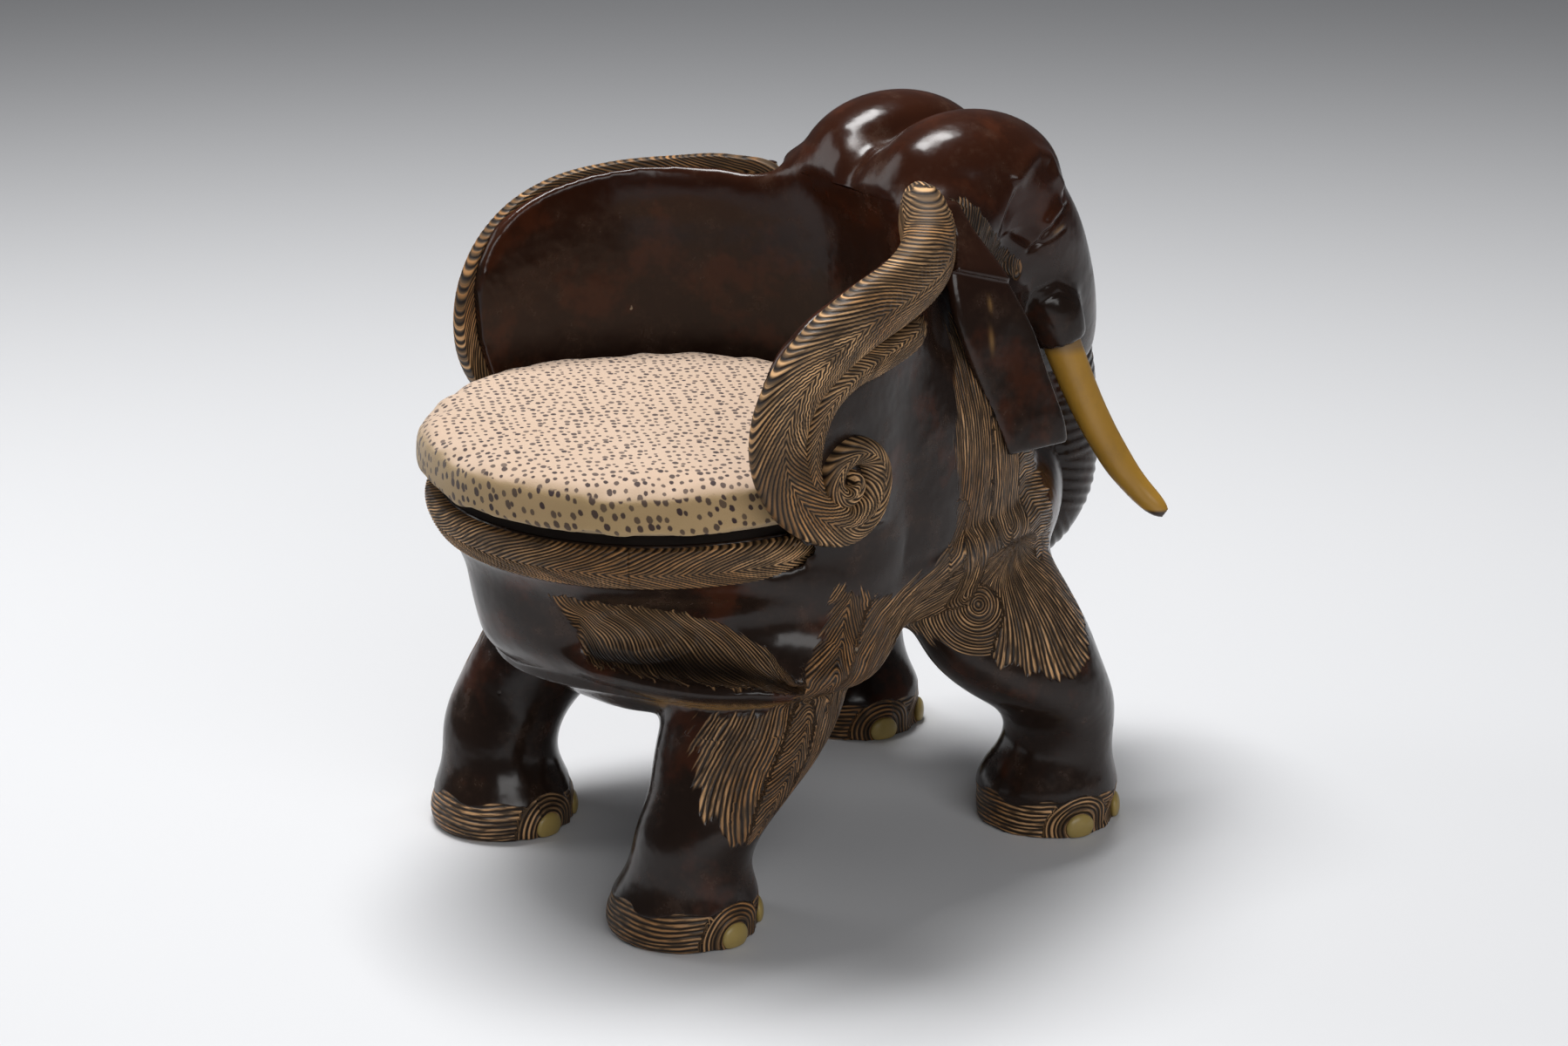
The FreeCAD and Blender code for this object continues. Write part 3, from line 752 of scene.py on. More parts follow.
def carve_body():
    """All big blocks in one even mesh, softened, carved, and cut into closed pieces again."""
    body = merged_copy(BODY_NODES, "carved_body")
    behind_scrolls = filler(SCROLL_NODES, "behind_scrolls", BEHIND_SCROLL_R)
    trim_to_arm(behind_scrolls)
    behind_rim = filler(RIM_NODES, "behind_rim", BEHIND_RIM_R)
    select_only([body, behind_scrolls, behind_rim])
    bpy.ops.object.join()
    remesh(body, BODY_VOXEL)
    edges = get_edges(body)
    points = flank_fold(get_points(body))
    points = relax(points, edges, 0.5, 6)
    points = fill_gutter(carve_hips(points))
    points = relax(points, edges, 0.6 * blend_weight(points), 60)
    points = relax(points, edges, 0.7 * sweep_weight(points), 120)
    set_points(body, points)
    points = clumps(points, get_normals(body))
    points[:, 2] = np.maximum(points[:, 2], 0.0)
    set_points(body, points)
    torso, legs = split(body, (0, 0, LEG_CUT_Z), (0, 0, 1), "torso", "legs")
    front, hind = split(legs, (0, 0, 0), (0, 1, 0), "front_legs", "hind_legs")
    pieces = {}
    for pair, name in ((hind, "leg_hind"), (front, "leg_front")):
        names = (name + "_right", name + "_left")
        both = split(pair, (0, 0, 0), (1, 0, 0), *("carved_" + leg for leg in names))
        pieces.update(zip(names, both))
    upper, lower = split(torso, (0, 0, BLOCK_CUT_Z), (0, 0, 1), "upper", "lower")
    chest, rump = split(lower, (0, SPLIT_Y, 0), (0, 1, 0), "carved_chest", "carved_rump")
    head, back = split(upper, *HEAD_CUT, "carved_head", "carved_back")
    finer_face(head)
    set_points(head, carve_face(get_points(head), get_normals(head)))
    pieces.update(chest=chest, rump=rump, head=head, back=back)
    for piece in pieces.values():
        drop_crumbs(piece)
        paint(piece)
    return pieces


# Scroll and rim: swept bands with real strokes

def band_mesh(name, rings, values):
    """A closed tube through the rings of points, with a number for each point of each named value."""
    rows, across = rings.shape[:2]
    bpy.ops.mesh.primitive_grid_add(x_subdivisions=across, y_subdivisions=rows - 1, size=1)
    band = bpy.context.active_object
    band.name = name
    set_points(band, np.concatenate([rings, rings[:, :1]], axis=1).reshape(-1, 3))
    for key, value in values.items():
        value = np.broadcast_to(value, (rows, across))
        put_values(band, **{key: np.concatenate([value, value[:, :1]], axis=1).ravel()})
    with edit_mode(band):
        bpy.ops.mesh.remove_doubles(threshold=0.000002)
        bpy.ops.mesh.normals_make_consistent(inside=False)
    return band


def smooth_line(rows, step):
    """Even points along a smooth curve through the rows, about step apart."""
    rows = np.array(rows, float)
    knots = np.concatenate([[0], np.cumsum(np.linalg.norm(np.diff(rows[:, :2], axis=0), axis=1))])
    tangents = np.gradient(rows, knots, axis=0)
    count = int(knots[-1] / step) + 1
    where = np.linspace(0, knots[-1], count)
    i = np.clip(np.searchsorted(knots, where, side="right") - 1, 0, len(knots) - 2)
    gap = (knots[i + 1] - knots[i])[:, None]
    t = ((where - knots[i]) / gap[:, 0])[:, None]
    h00, h10 = 2 * t**3 - 3 * t**2 + 1, t**3 - 2 * t**2 + t
    h01, h11 = -2 * t**3 + 3 * t**2, t**3 - t**2
    return h00 * rows[i] + h10 * gap * tangents[i] + h01 * rows[i + 1] + h11 * gap * tangents[i + 1], where


def ridges(lines):
    """Broad ridges between narrow cuts: 0 in each cut, 1 on top."""
    return (0.5 - 0.5 * np.cos(2 * np.pi * lines)) ** 0.7


def squarish(values):
    """Turns the sine or cosine of a circle into that of a slightly square section."""
    return np.sign(values) * np.abs(values) ** 0.80


def scroll_band(name, rows, side, spacing=STROKE, around=72, depth=0.0015, ragged=0.006):
    """One strand of a scroll: rows of (distance round the seat, height, half width, half depth)."""
    line, along = smooth_line(rows, BAND_STEP)
    ahead = np.gradient(line[:, :2], axis=0)
    ahead /= np.linalg.norm(ahead, axis=1)[:, None]
    s, z, half_width, half_depth = line.T[:, :, None]
    along = along[:, None]
    turn = np.linspace(0, 2 * np.pi, around, endpoint=False)
    u, v = squarish(np.cos(turn)), squarish(np.sin(turn))
    out = np.abs(u + 0.55 * ramp(along, 0.16, 0.04)) * half_width
    lean = BAND_LEAN + 1.5 * ramp(along, 0.15, 0.03)
    lines = (along - lean * out) / (spacing * np.sqrt((1 + lean**2) / (1 + BAND_LEAN**2)))
    tip = along < 0.022 + 0.005 * np.sin(turn * 9)
    lines = np.where(tip, turn * 34 / (2 * np.pi) + 15 * along, lines)
    wobble = 0.35 * np.sin(along * 61) + 0.35 * np.sin(u * 4 + along * 41)
    facing = np.clip(v + 0.35, 0, 1)
    lift = half_depth * v + facing * depth * (ridges(lines + wobble) - 1.0 - 0.5 * bell(out, 0.0022))
    radius = np.maximum(SCROLL_R + lift, INNERMOST[side])
    angle = (s - ahead[:, 1:] * (u * half_width)) / SCROLL_R
    place_z = z + ahead[:, :1] * (u * half_width)
    rings = np.stack([side * radius * np.sin(angle), SEAT_Y - radius * np.cos(angle), place_z], axis=2)
    tuft = 0.5 + 0.5 * np.sin(np.cos(turn) * 11 + np.sin(turn) * 5)
    rings[:14] += np.linspace(0.006, 0.0, 14)[:, None, None] * (tuft[:, None] * END_LEAN[side])[None]
    for end in (0, -1):
        rings[end] = rings[end].mean(axis=0)
    full = np.clip((along - ragged) / 0.020 + 0.5, 0.0, 1.0)
    values = {"hair": lines + wobble, "strand": out * 2.1, "fur": full, "red": 0.25}
    return band_mesh(name, rings, values)


# On the right (1) and the left (-1): how far in a strand may reach, and where the tufts at its top point
INNERMOST = {1: 0.2245, -1: 0.2405}
END_LEAN = {1: np.array((-0.6, 0.3, 0.7)), -1: np.array((0.6, 0.3, 0.2))}

# Rows of a strand: angle round the seat, then height, half width and half depth in millimetres. The rows
# of the spiral have its turn and its radius in place of the angle and the height.
ROLL_END = {
    "right": (
        (160, 614, 18, 8), (157, 613, 27, 18), (151, 607, 31, 24), (142, 600, 32, 25),
        (128, 592, 31, 23),
    ),
    "left": (
        (157, 586, 6, 3), (152, 592, 22, 14), (142, 593, 29, 23), (128, 589, 30, 22),
    ),
}
ROLL_ROWS = (
    (114, 584, 30, 19), (102, 574, 30, 17), (92, 555, 29, 17), (84.5, 527, 27, 17),
    (80.5, 492, 26, 17), (80.5, 454, 26, 17), (84.5, 420, 25, 17), (90.5, 399, 22, 17),
)
STRAND_ROWS = (
    (126, 543, 7, 9), (122, 540, 12, 13), (113, 536, 14, 14), (105, 532, 14, 14),
    (97, 525, 13, 14), (91, 507, 12, 14), (88, 482, 11, 14), (87, 450, 10, 14), (88.5, 426, 9, 13),
    (92, 408, 6, 12),
)
SPIRAL_ROWS = (
    (-90, 39, 19, 17), (-45, 38, 17, 17), (0, 35, 15, 17), (45, 31, 13, 17), (90, 27, 12, 17),
    (135, 23.5, 11, 16), (180, 20, 10.5, 16), (225, 16, 10, 16), (270, 12, 9, 15),
    (315, 8, 8.5, 15), (360, 5.5, 8, 15), (405, 4.5, 7.5, 14), (460, 3, 6, 10),
)


def round_seat(rows):
    """The rows with their angle as a distance round the seat, all in metres."""
    return [(math.radians(angle) * SCROLL_R, z / 1000, w / 1000, d / 1000) for angle, z, w, d in rows]


def scroll_pieces(side, side_name):
    """The roll that ends in its volute, and the strand below it."""
    roll = round_seat(ROLL_END[side_name] + ROLL_ROWS)
    centre_s = math.radians(VOLUTE_ANGLE) * SCROLL_R
    for turn, r, w, d in SPIRAL_ROWS:
        t = math.radians(turn)
        place = (centre_s + r / 1000 * math.cos(t), VOLUTE_Z + r / 1000 * math.sin(t))
        roll.append((*place, w / 1000, d / 1000))
    strand = round_seat(STRAND_ROWS)
    main = scroll_band("scroll_roll_" + side_name, roll, side)
    thin = scroll_band("scroll_strand_" + side_name, strand, side, spacing=0.0062, around=40, depth=0.0011)
    return main, thin


# Section of the rim band: distance from the seat's axis, and height
RIM_PROFILE = mm(
    (199.0, 338.0), (205.5, 337.2), (209.0, 341.0), (212.0, 346.0), (214.5, 351.0), (216.2, 356.0),
    (217.2, 361.0), (217.4, 366.0), (216.5, 370.5), (213.5, 374.5), (208.0, 375.5), (199.0, 375.0),
)


def rim_band(name, start, end):
    """A length of the band under the cushion, carved as one long feather."""
    count = int(math.radians(end - start) * 0.213 / BAND_STEP)
    angle = np.radians(np.linspace(start, end, count))[:, None]
    dense = np.linspace(0, len(RIM_PROFILE) - 1, 44)
    r, z = (np.interp(dense, range(len(RIM_PROFILE)), column) for column in RIM_PROFILE.T)
    away = np.abs(z - RIM_SPINE_Z)
    lean = np.where(z > RIM_SPINE_Z, BAND_LEAN, 3.0)
    along = angle * RIM_R
    lines = (along - lean * away) / STROKE
    hair = lines + 0.35 * np.sin(along * 53) + 0.35 * np.sin(z * 170 + along * 37)
    cut = ridges(hair)
    facing = ramp(r, 0.2035, 0.2090)
    taper = ramp(np.abs(angle), math.radians(RIM_END_ANGLE + 1), math.radians(RIM_END_ANGLE - 12))
    to_end = RIM_R * np.minimum(angle - angle[0], angle[-1] - angle)
    carved = r + facing * 0.0018 * (cut - 1.0 - 0.5 * bell(away, 0.0018)) - 0.006 * facing * (1 - taper)
    carved -= 0.0010 * facing * bell(to_end, 0.0009)
    x = carved * np.sin(angle)
    y = SEAT_Y - carved * np.cos(angle)
    rings = np.stack([x, y, np.broadcast_to(z, x.shape)], axis=2)
    first = np.broadcast_to(rings[0].mean(axis=0), rings[:1].shape)
    last = np.broadcast_to(rings[-1].mean(axis=0), rings[:1].shape)
    hair = np.concatenate([hair[:1], hair, hair[-1:]])
    values = {"hair": hair, "strand": away * 2.4, "fur": 1.0, "red": 0.25}
    return band_mesh(name, np.concatenate([first, rings, last]), values)


# Finishes

class Nodes:
    """Adds and joins shader nodes in one material or group."""

    def __init__(self, tree):
        self.tree = tree

    def add(self, kind, inputs=(), **settings):
        """A node whose inputs, by label or number, are linked to a socket or set to a value."""
        node = self.tree.nodes.new("ShaderNode" + kind)
        for key, value in settings.items():
            setattr(node, key, value)
        for label, value in dict(inputs).items():
            if isinstance(value, bpy.types.NodeSocket):
                self.join(value, node.inputs[label])
            else:
                node.inputs[label].default_value = value
        return node

    def join(self, start, end):
        self.tree.links.new(start, end)

    def math(self, operation, *values, clamp=False):
        return self.add("Math", enumerate(values), operation=operation, use_clamp=clamp).outputs[0]

    def times(self, first, second):
        return self.math("MULTIPLY", first, second)

    def times_plus(self, first, second, third):
        return self.math("MULTIPLY_ADD", first, second, third)

    def minus(self, first, second):
        return self.math("SUBTRACT", first, second)

    def mix(self, amount, first, second):
        pair = [c if isinstance(c, bpy.types.NodeSocket) else (*c, 1) for c in (first, second)]
        return self.add("Mix", {0: amount, 6: pair[0], 7: pair[1]}, data_type="RGBA").outputs[2]

    def split(self, vector):
        return self.add("SeparateXYZ", {0: vector}).outputs

    def combine(self, *parts):
        return self.add("CombineXYZ", enumerate(parts)).outputs[0]

    def stored(self, name):
        """A number stored on the mesh."""
        return self.add("Attribute", attribute_name=name).outputs["Fac"]

    def noise(self, vector, scale, detail=3.0, rough=0.55):
        inputs = {"Vector": vector, "Scale": scale, "Detail": detail, "Roughness": rough}
        return self.add("TexNoise", inputs).outputs["Fac"]

    def band(self, value, low, high):
        """0 at low, 1 at high, smooth between."""
        inputs = {"Value": value, "From Min": low, "From Max": high}
        return self.add("MapRange", inputs, interpolation_type="SMOOTHSTEP").outputs["Result"]

    def surface(self, colour, rough, height=None, **extra):
        """The shader of the whole material; height is in metres, extra are other inputs of it."""
        inputs = {"Base Color": colour, "Roughness": rough}
        inputs.update({label.replace("_", " "): value for label, value in extra.items()})
        if height is not None:
            bump = self.add("Bump", {"Strength": 1.0, "Distance": 1.0, "Height": height})
            inputs["Normal"] = bump.outputs["Normal"]
        shader = self.add("BsdfPrincipled", inputs)
        self.add("OutputMaterial", {"Surface": shader.outputs["BSDF"]})


def new_material(name):
    """An empty material, its nodes, and the place on the object."""
    material = bpy.data.materials.new(name)
    material.use_nodes = True
    material.node_tree.nodes.clear()
    n = Nodes(material.node_tree)
    return material, n, n.add("TexCoord").outputs["Object"]


def shade(colour, amount):
    return [channel * amount for channel in colour]


def shader_group(name, inputs, outputs):
    """An empty group: its nodes, what it is given, and the sockets of its result."""
    tree = bpy.data.node_groups.new(name, "ShaderNodeTree")
    for direction, labels in (("INPUT", inputs), ("OUTPUT", outputs)):
        for label in labels:
            kind = "NodeSocketVector" if label == "Vector" else "NodeSocketFloat"
            tree.interface.new_socket(name=label, in_out=direction, socket_type=kind)
    source = tree.nodes.new("NodeGroupInput")
    result = tree.nodes.new("NodeGroupOutput")
    return Nodes(tree), source.outputs, result.inputs


def hair_lines_group():
    """Uneven ridges between narrow grooves, with a ragged edge where the fur ends."""
    n, given, result = shader_group(
        "hair lines", ("Lines", "Along", "Full", "Drift"), ("Height", "Ridge", "Streak", "Clump", "Amount")
    )
    flow = n.combine(given["Lines"], n.times(given["Along"], 30.0))
    bundle = n.noise(flow, 0.45, 2.0)
    streak = n.noise(flow, 1.7, 2.0)
    drift = n.times(n.minus(bundle, 0.5), given["Drift"])
    turned = n.times(n.math("ADD", given["Lines"], drift), 6.28318)
    wave = n.times_plus(n.math("COSINE", turned), -0.5, 0.5)
    ridge = n.times(n.math("POWER", wave, 0.7), n.times_plus(n.band(streak, 0.30, 0.62), 0.5, 0.5))
    ragged = n.times_plus(n.minus(bundle, 0.5), 1.5, given["Full"])
    amount = n.band(ragged, 0.42, 0.60)
    n.join(ridge, result["Ridge"])
    n.join(streak, result["Streak"])
    n.join(n.band(n.noise(flow, 0.2, 2.0), 0.36, 0.62), result["Clump"])
    n.join(amount, result["Amount"])
    n.join(n.times(n.minus(ridge, 1.0), amount), result["Height"])
    return n.tree


def worn_wood_group():
    """Patchy tone, rubbed places, chips, and the uneven surface of old lacquered wood."""
    n, given, result = shader_group("worn wood", ("Vector", "Grain"), ("Tone", "Rub", "Chips", "Height"))
    vector = given["Vector"]
    n.join(n.noise(vector, 9.0, 5.0, 0.6), result["Tone"])
    n.join(n.band(n.noise(vector, 24.0, 6.0, 0.7), 0.48, 0.78), result["Rub"])
    n.join(n.band(n.noise(vector, 58.0, 2.0, 0.5), 0.775, 0.80), result["Chips"])
    stretched = n.add("Mapping", {"Vector": vector, "Scale": (160, 160, 16)}).outputs[0]
    grain = n.noise(stretched, 1.0, 1.0, 0.5)
    uneven = n.times(n.noise(vector, 30.0, 2.0), 0.0012)
    n.join(n.times_plus(grain, given["Grain"], uneven), result["Height"])
    return n.tree


def carved_wood(name, tops, rough, hair_group, wear_group, hair_depth=0.0013, drift=1.1):
    """Lacquered wood that turns into cut hair, tan on its ridges, where the fur attribute says so."""
    material, n, place = new_material(name)
    inputs = {"Lines": n.stored("hair"), "Along": n.stored("strand"), "Full": n.stored("fur")}
    hair = n.add("Group", {**inputs, "Drift": drift}, node_tree=hair_group).outputs
    wear = n.add("Group", {"Vector": place, "Grain": 0.00005}, node_tree=wear_group).outputs

    smooth = n.mix(n.stored("red"), LACQUER, RED_LACQUER)
    smooth = n.mix(n.times(wear["Tone"], 0.6), smooth, shade(LACQUER, 0.35))
    stain = n.times(n.band(n.noise(place, 13.0, 4.0, 0.6), 0.50, 0.66), 0.40)
    smooth = n.mix(stain, smooth, shade(RED_LACQUER, 2.2))
    smooth = n.mix(n.times(wear["Rub"], 0.34), smooth, WORN_LACQUER)
    smooth = n.mix(n.times(n.stored("worn"), 0.75), smooth, GOLD_TAN)

    ridge = n.mix(n.band(hair["Streak"], 0.36, 0.66), shade(tops, 0.55), tops)
    ridge = n.mix(n.times(n.band(n.noise(place, 7.0, 2.0), 0.42, 0.58), 0.75), ridge, AMBER)
    ridge = n.mix(n.times(wear["Rub"], 0.45), ridge, PALE_TAN)
    ridge = n.mix(hair["Clump"], n.mix(0.62, ridge, GROOVE), ridge)
    ridge = n.mix(n.band(wear["Tone"], 0.46, 0.72), ridge, shade(tops, 0.40))
    cut = n.mix(n.band(hair["Ridge"], 0.05, 0.50), GROOVE, shade(tops, 0.10))
    cut = n.mix(n.band(hair["Ridge"], 0.42, 0.95), cut, ridge)

    colour = n.mix(hair["Amount"], smooth, cut)
    # Painted shade: creases and hollows turn near black where the painted shade attribute is high
    colour = n.mix(n.times(n.stored("grime"), 0.9), colour, PAINTED_SHADE_COLOUR)
    colour = n.mix(wear["Chips"], colour, PALE_TAN)
    gloss = n.times_plus(wear["Rub"], 0.16, rough)
    gloss = n.math("MULTIPLY_ADD", hair["Amount"], 0.20, gloss, clamp=True)
    height = n.times_plus(hair["Height"], hair_depth, wear["Height"])
    n.surface(colour, gloss, height, Specular_IOR_Level=0.28)
    return material


def painted_ochre(name, colour, wear_group, dark_tip=False):
    material, n, place = new_material(name)
    wear = n.add("Group", {"Vector": place, "Grain": 0.0001}, node_tree=wear_group).outputs
    tone = n.mix(wear["Tone"], colour, shade(colour, 0.62))
    tone = n.mix(n.times(wear["Rub"], 0.35), tone, DULL_OCHRE)
    if dark_tip:
        height = n.split(place)["Z"]
        tone = n.mix(n.band(height, 0.2925, 0.2885), tone, TUSK_TIP)
        tone = n.mix(n.times(n.band(height, 0.447, 0.458), 0.7), tone, TUSK_COLLAR)
    n.surface(tone, 0.38, wear["Height"])
    return material


def spots(n, flat, fray, stretch, randomness):
    """Dark dabs of uneven size on a flat pattern plane: how dark each place is."""
    scaled = n.add("VectorMath", {0: flat, 1: stretch}, operation="MULTIPLY").outputs[0]
    inputs = {"Vector": scaled, "Scale": 1.0, "Randomness": randomness}
    cells = n.add("TexVoronoi", inputs, feature="F1", voronoi_dimensions="2D")
    chance = n.add("SeparateColor", {0: cells.outputs["Color"]}).outputs
    size = n.times_plus(n.math("POWER", chance[0], 2.0), 0.15, 0.200)
    distance = n.math("ADD", cells.outputs["Distance"], fray)
    dab = n.band(n.minus(distance, size), 0.05, -0.05)
    return n.times(dab, n.times_plus(chance[1], 0.25, 0.75))


def spotted_hide():
    """Short pale pile with close rows of small dark spots, larger on the side."""
    material, n, place = new_material("spotted hide print")
    parts = n.split(place)
    back = n.minus(parts["Y"], SEAT_Y)
    bend = n.times(n.minus(n.noise(place, 16.0, 2.0), 0.5), 0.012)
    fray = n.times(n.minus(n.noise(place, 420.0, 2.0), 0.5), 0.16)
    turned = n.add("Mapping", {"Vector": place, "Rotation": (0, 0, math.radians(-66.0))}).outputs[0]
    bent = n.add("VectorMath", {0: turned, 1: n.combine(0.0, bend)}, operation="ADD").outputs[0]
    on_top = spots(n, bent, fray, (122, 100, 1), 0.60)
    turn = n.math("ARCTAN2", back, parts["X"])
    way_round = n.times_plus(turn, 0.2235, n.times(parts["Z"], 0.25))
    round_edge = spots(n, n.combine(way_round, parts["Z"]), fray, (104, 84, 1), 0.80)
    facing = n.split(n.add("NewGeometry").outputs["Normal"])["Z"]
    on_side = n.band(facing, 0.72, 0.60)
    spot = n.add("Mix", {0: on_side, 2: on_top, 3: round_edge}, data_type="FLOAT").outputs[0]
    pale = n.mix(n.band(facing, 0.97, 0.40), HIDE_TOP, HIDE_SIDE)
    pale = n.mix(n.times(n.noise(place, 11.0, 3.0), 0.35), pale, HIDE_TAN)
    pile = n.times(n.noise(place, 900.0, 2.0), 0.0004)
    n.surface(n.mix(spot, pale, HIDE_SPOT), 0.86, pile, Sheen_Weight=0.20, Sheen_Roughness=0.5)
    return material


def bare_wood(name, colour):
    material, n, place = new_material(name)
    stretched = n.add("Mapping", {"Vector": place, "Scale": (18, 140, 140)}).outputs[0]
    grain = n.noise(stretched, 1.0, 5.0, 0.6)
    n.surface(n.mix(grain, colour, shade(colour, 0.6)), 0.85, Specular_IOR_Level=0.15)
    return material


# Cushion

def cushion():
    """The cover filled by pressure, from a slightly smaller copy of its own form."""
    pad = merged_copy(("cushion_foam",), "cushion")
    remesh(pad, PAD_VOXEL)
    points = get_points(pad)
    centre = np.array((0.0, SEAT_Y, PAD_MIDDLE))
    points = centre + (points - centre) * np.array(PAD_SHRINK)
    set_points(pad, points)
    rest = points.copy()
    cloth = pad.modifiers.new("filling", "CLOTH")
    cloth.settings.use_pressure = True
    cloth.settings.uniform_pressure_force = 4.0
    cloth.settings.quality = 4
    cloth.settings.mass = 0.25
    cloth.settings.effector_weights.gravity = 0.0
    scene = bpy.context.scene
    for number in range(1, PAD_FRAMES + 1):
        scene.frame_set(number)
    apply_all(pad)
    scene.frame_set(1)
    moved = get_points(pad) - rest
    size = np.linalg.norm(moved, axis=1)
    moved *= (np.minimum(size, PAD_SWELL) / np.maximum(size, 1e-9))[:, None]
    points = rest + moved
    fit_cushion(pad, points)
    finer = pad.modifiers.new("finer", "SUBSURF")
    finer.levels = 1
    finer.render_levels = 1
    apply_all(pad)
    return pad


def fit_cushion(pad, points):
    """Flat underneath, crowned above, with a softly wavy edge that stays on its board."""
    x, y = points[:, 0], points[:, 1] - SEAT_Y
    radius = np.maximum(np.hypot(x, y), 1e-6)
    angle = np.arctan2(y, x)
    rim = PAD_RADIUS + 0.0013 * np.sin(angle * 5 + 0.8) + 0.0010 * np.sin(angle * 9 + 2.1)
    widest = radius.max()
    points[:, 0] *= rim / widest
    points[:, 1] = SEAT_Y + y * rim / widest
    points[:, 2] = np.clip(points[:, 2], PAD_BOTTOM, None)
    top = points[:, 2] > PAD_MIDDLE
    height = points[:, 2].max()
    fuller = 1 + 0.055 * ramp(points[:, 2], 0.412, 0.389)
    scale_round_seat(points, np.minimum(fuller, widest / radius))
    points[:, 2] += (CUSHION_TOP - height) * ramp(points[:, 2], 0.395, height)
    points[:, 2] += np.where(top, 0.0009 * waviness(points, 32.0, 4), 0.0)
    set_points(pad, relax(points, get_edges(pad), 0.4, 3))


# Other pieces from the model

TRUNK_SPINE = mm((0, 290, 446), (0, 316, 384), (0, 324.5, 312), (0, 313, 258), (0, 273, 232))


def softened_copy(nodes, name):
    """An even, slightly softened mesh of CAD nodes, with its points and normals."""
    piece = merged_copy(nodes, name)
    remesh(piece, THIN_VOXEL)
    points = relax(get_points(piece), get_edges(piece), 0.5, 5)
    set_points(piece, points)
    return piece, points, get_normals(piece)


def trunk_piece():
    """The trunk, with faint rings and a comb of short cuts down its front."""
    trunk, points, normals = softened_copy(("trunk", "trunk_dowel"), "carved_trunk")
    along, _, _ = guide_place(points, normals, TRUNK_SPINE)
    points += normals * (0.0006 * np.cos(2 * np.pi * along / 0.011))[:, None]
    points[:, 1] = np.minimum(points[:, 1], cad_box[1][1] - 0.0002)
    set_points(trunk, points)
    front = 0.62 * ramp(normals[:, 1], 0.50, 0.90)
    put_values(trunk, hair=along / 0.0045, strand=points[:, 0], fur=front)
    return trunk


# Worn spots on the ear's edge: y, z, half width and half height
EAR_CHIPS = ((0.093, 0.540, 0.0022, 0.006), (0.090, 0.508, 0.0028, 0.010))


def ear_piece(side_name):
    """An ear with its top edge folded over and its middle dished."""
    ear, points, normals = softened_copy(("ear_" + side_name,), "carved_ear_" + side_name)
    side = 1.0 if side_name == "right" else -1.0
    right, faces = mirrored(points, normals)
    y, z = right[:, 1], right[:, 2]
    outside = ramp(faces[:, 0], 0.1, 0.5)
    fold_z = np.interp(y, (0.060, 0.125), (0.576, 0.556))
    fold = ramp(z, fold_z - 0.0035, fold_z + 0.0020) * ramp(z, fold_z + 0.036, fold_z)
    dish = bell(z - 0.490, 0.050) * bell(y - 0.115, 0.028)
    points[:, 0] += side * outside * (0.0060 * fold - 0.0050 * dish)
    if side_name == "left":
        points[:, 2] = np.minimum(z, 0.598 + 0.5 * (z - 0.598))
    set_points(ear, points)
    chips = np.zeros(len(points))
    for chip_y, chip_z, half_y, half_z in EAR_CHIPS:
        chips = np.maximum(chips, bell(y - chip_y, half_y) * bell(z - chip_z, half_z))
    put_values(ear, red=ramp(z, 0.50, 0.60) * 0.6, worn=chips * outside)
    return ear


# Stage, lamps and camera

def studio():
    bpy.ops.mesh.primitive_plane_add(size=40, location=(0, 0, -0.0005))
    floor = bpy.context.active_object
    floor.name = "studio_floor"
    material, n, place = new_material("studio floor")
    parts = n.split(place)
    # Painted shade: the floor's colour darkens with distance behind the object
    back = n.minus(n.times(parts["Y"], 0.6), n.times(parts["X"], 0.8))
    n.surface(n.mix(n.band(back, 0.6, 4.5), FLOOR_NEAR, FLOOR_FAR), 0.55)
    floor.data.materials.append(material)


def aim(place, target):
    return (Vector(target) - Vector(place)).to_track_quat("-Z", "Y")


def lamp(name, place, size, size_y, watts):
    light = bpy.data.lights.new(name, "AREA")
    light.shape = "RECTANGLE"
    light.size = size
    light.size_y = size_y
    light.energy = watts
    obj = new_object(name, light)
    obj.location = place
    obj.rotation_euler = aim(place, LAMP_TARGET).to_euler()


def light_and_camera():
    world = bpy.data.worlds.new("studio air")
    bpy.context.scene.world = world
    world.use_nodes = True
    background = world.node_tree.nodes["Background"]
    background.inputs["Color"].default_value = (*AIR, 1)
    background.inputs["Strength"].default_value = AIR_STRENGTH
    for settings in LAMPS:
        lamp(*settings)
    camera = new_object("camera", bpy.data.cameras.new("camera"))
    camera.location = CAMERA_PLACE
    camera.rotation_mode = "QUATERNION"
    camera.rotation_quaternion = aim(CAMERA_PLACE, CAMERA_TARGET)
    camera.data.lens = CAMERA_LENS
    camera.data.sensor_width = 36.0
    bpy.context.scene.camera = camera
    bpy.context.scene.view_settings.view_transform = "Standard"


# Putting it together

def finish_piece(piece, material, slot, *nodes, body="elephant", crease=BODY_CREASE):
    """Gives a piece its finish, hides the CAD nodes it stands for, and attaches it to what it rides on."""
    smooth_shade(piece, crease)
    piece.data.materials.clear()
    piece.data.materials.append(material)
    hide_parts(*nodes)
    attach(piece, body)


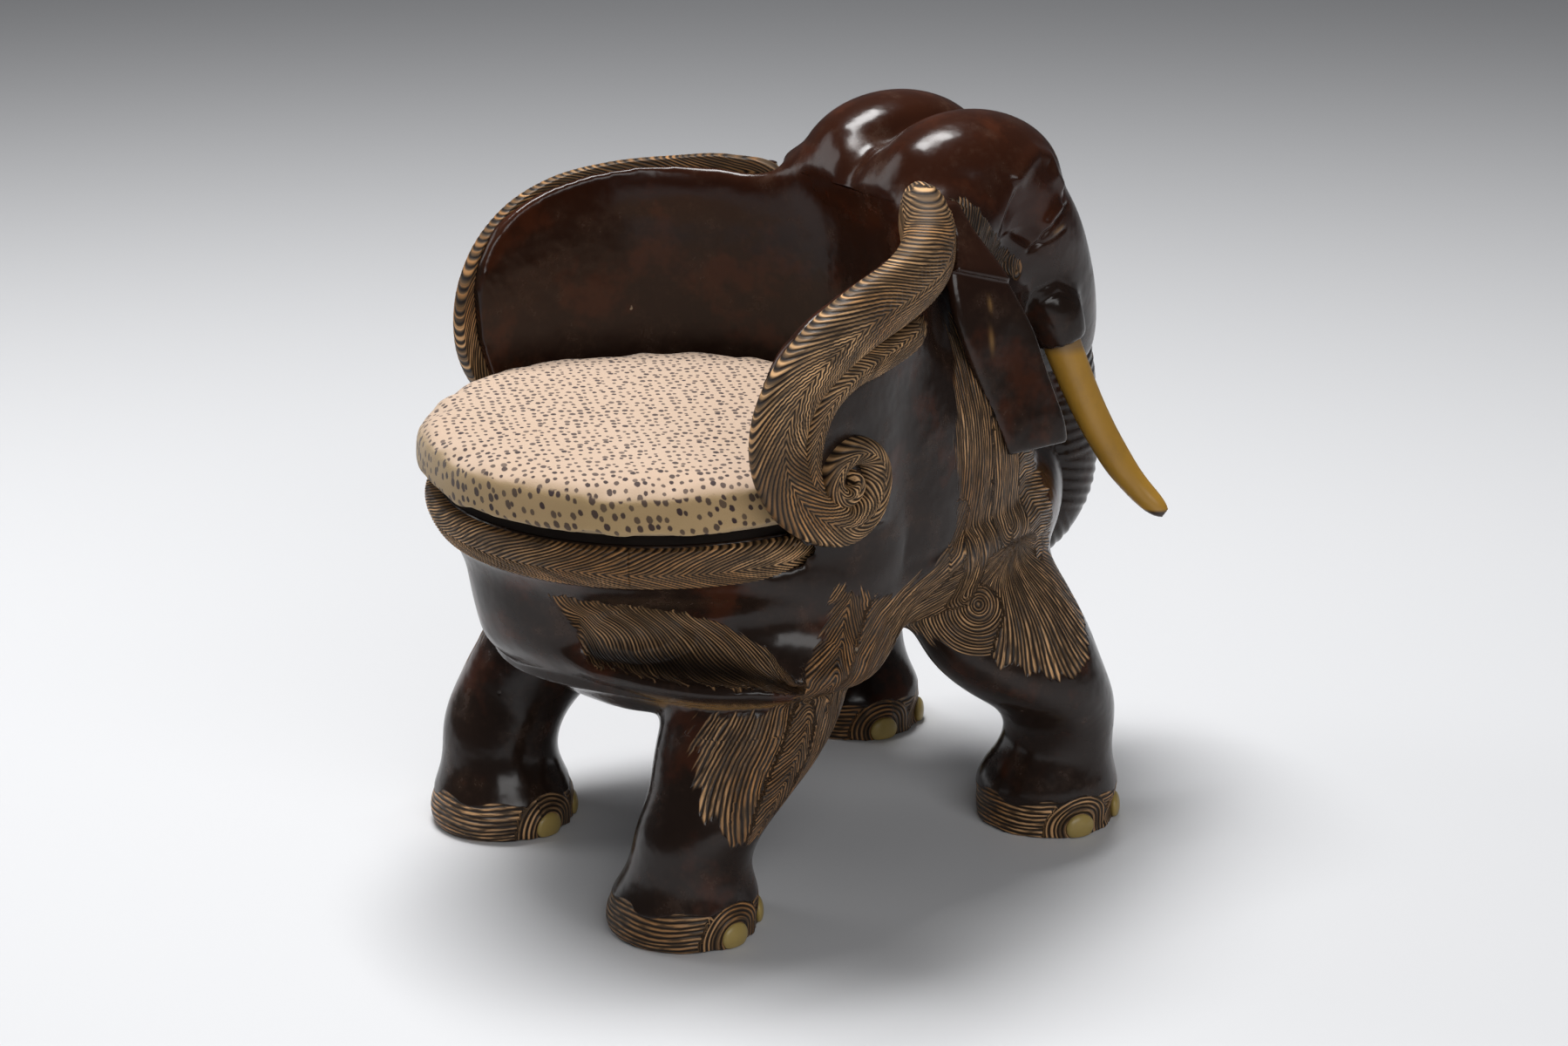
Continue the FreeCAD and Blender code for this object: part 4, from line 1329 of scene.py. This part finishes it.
def repaint(node, material):
    obj = frame["nodes"][node]
    for material_slot in obj.material_slots:
        material_slot.material = material
    if not obj.material_slots:
        obj.data.materials.append(material)


def main():
    studio()
    light_and_camera()
    hair_group = hair_lines_group()
    wear_group = worn_wood_group()
    dark = carved_wood("dark carved wood", TAN, 0.20, hair_group, wear_group)
    band = carved_wood("carved band wood", BAND_TAN, 0.30, hair_group, wear_group, 0.0006, 0.7)
    tusk = painted_ochre("tusk ochre", OCHRE, wear_group, dark_tip=True)
    nail = painted_ochre("nail ochre", NAIL, wear_group)
    ply = bare_wood("plywood", PLYWOOD)
    stained = bare_wood("stained board", STAINED_WOOD)
    peg = bare_wood("dowel wood", DOWEL_WOOD)
    hide = spotted_hide()

    pieces = carve_body()
    replaced = {
        "chest": ("chest_block",),
        "rump": ("seat_block",),
        "back": ("neck_block", "back_left", "back_right"),
    }
    for key, piece in pieces.items():
        finish_piece(piece, dark, "dark_wood", *replaced.get(key, (key,)))

    for side, side_name in ((1.0, "right"), (-1.0, "left")):
        roll, strand = scroll_pieces(side, side_name)
        for piece in (roll, strand):
            smooth_shade(piece, BAND_CREASE)
            piece.data.materials.append(band)
            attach(piece, "elephant")
        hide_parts("scroll_" + side_name)
        ear = ear_piece(side_name)
        finish_piece(ear, dark, "dark_wood", "ear_" + side_name)

    spans = {
        "rim_front": (-RIM_SEAM_ANGLE, RIM_SEAM_ANGLE),
        "rim_right": (RIM_SEAM_ANGLE, RIM_END_ANGLE),
        "rim_left": (-RIM_END_ANGLE, -RIM_SEAM_ANGLE),
    }
    for node, (start, end) in spans.items():
        piece = rim_band("carved_" + node, start, end)
        finish_piece(piece, band, "carved_band", node, crease=BAND_CREASE)

    finish_piece(trunk_piece(), dark, "dark_wood", "trunk")

    pad = cushion()
    finish_piece(
        pad, hide, "hide_print", "cushion_cover", "cushion_foam", body="cushion", crease=BAND_CREASE
    )

    finishes = {"tusk": tusk, "toenails": nail, "dowel": peg, "cushion_board": ply, "seat_board": stained}
    for node in frame["nodes"]:
        for label, material in finishes.items():
            if label in node:
                repaint(node, material)


main()
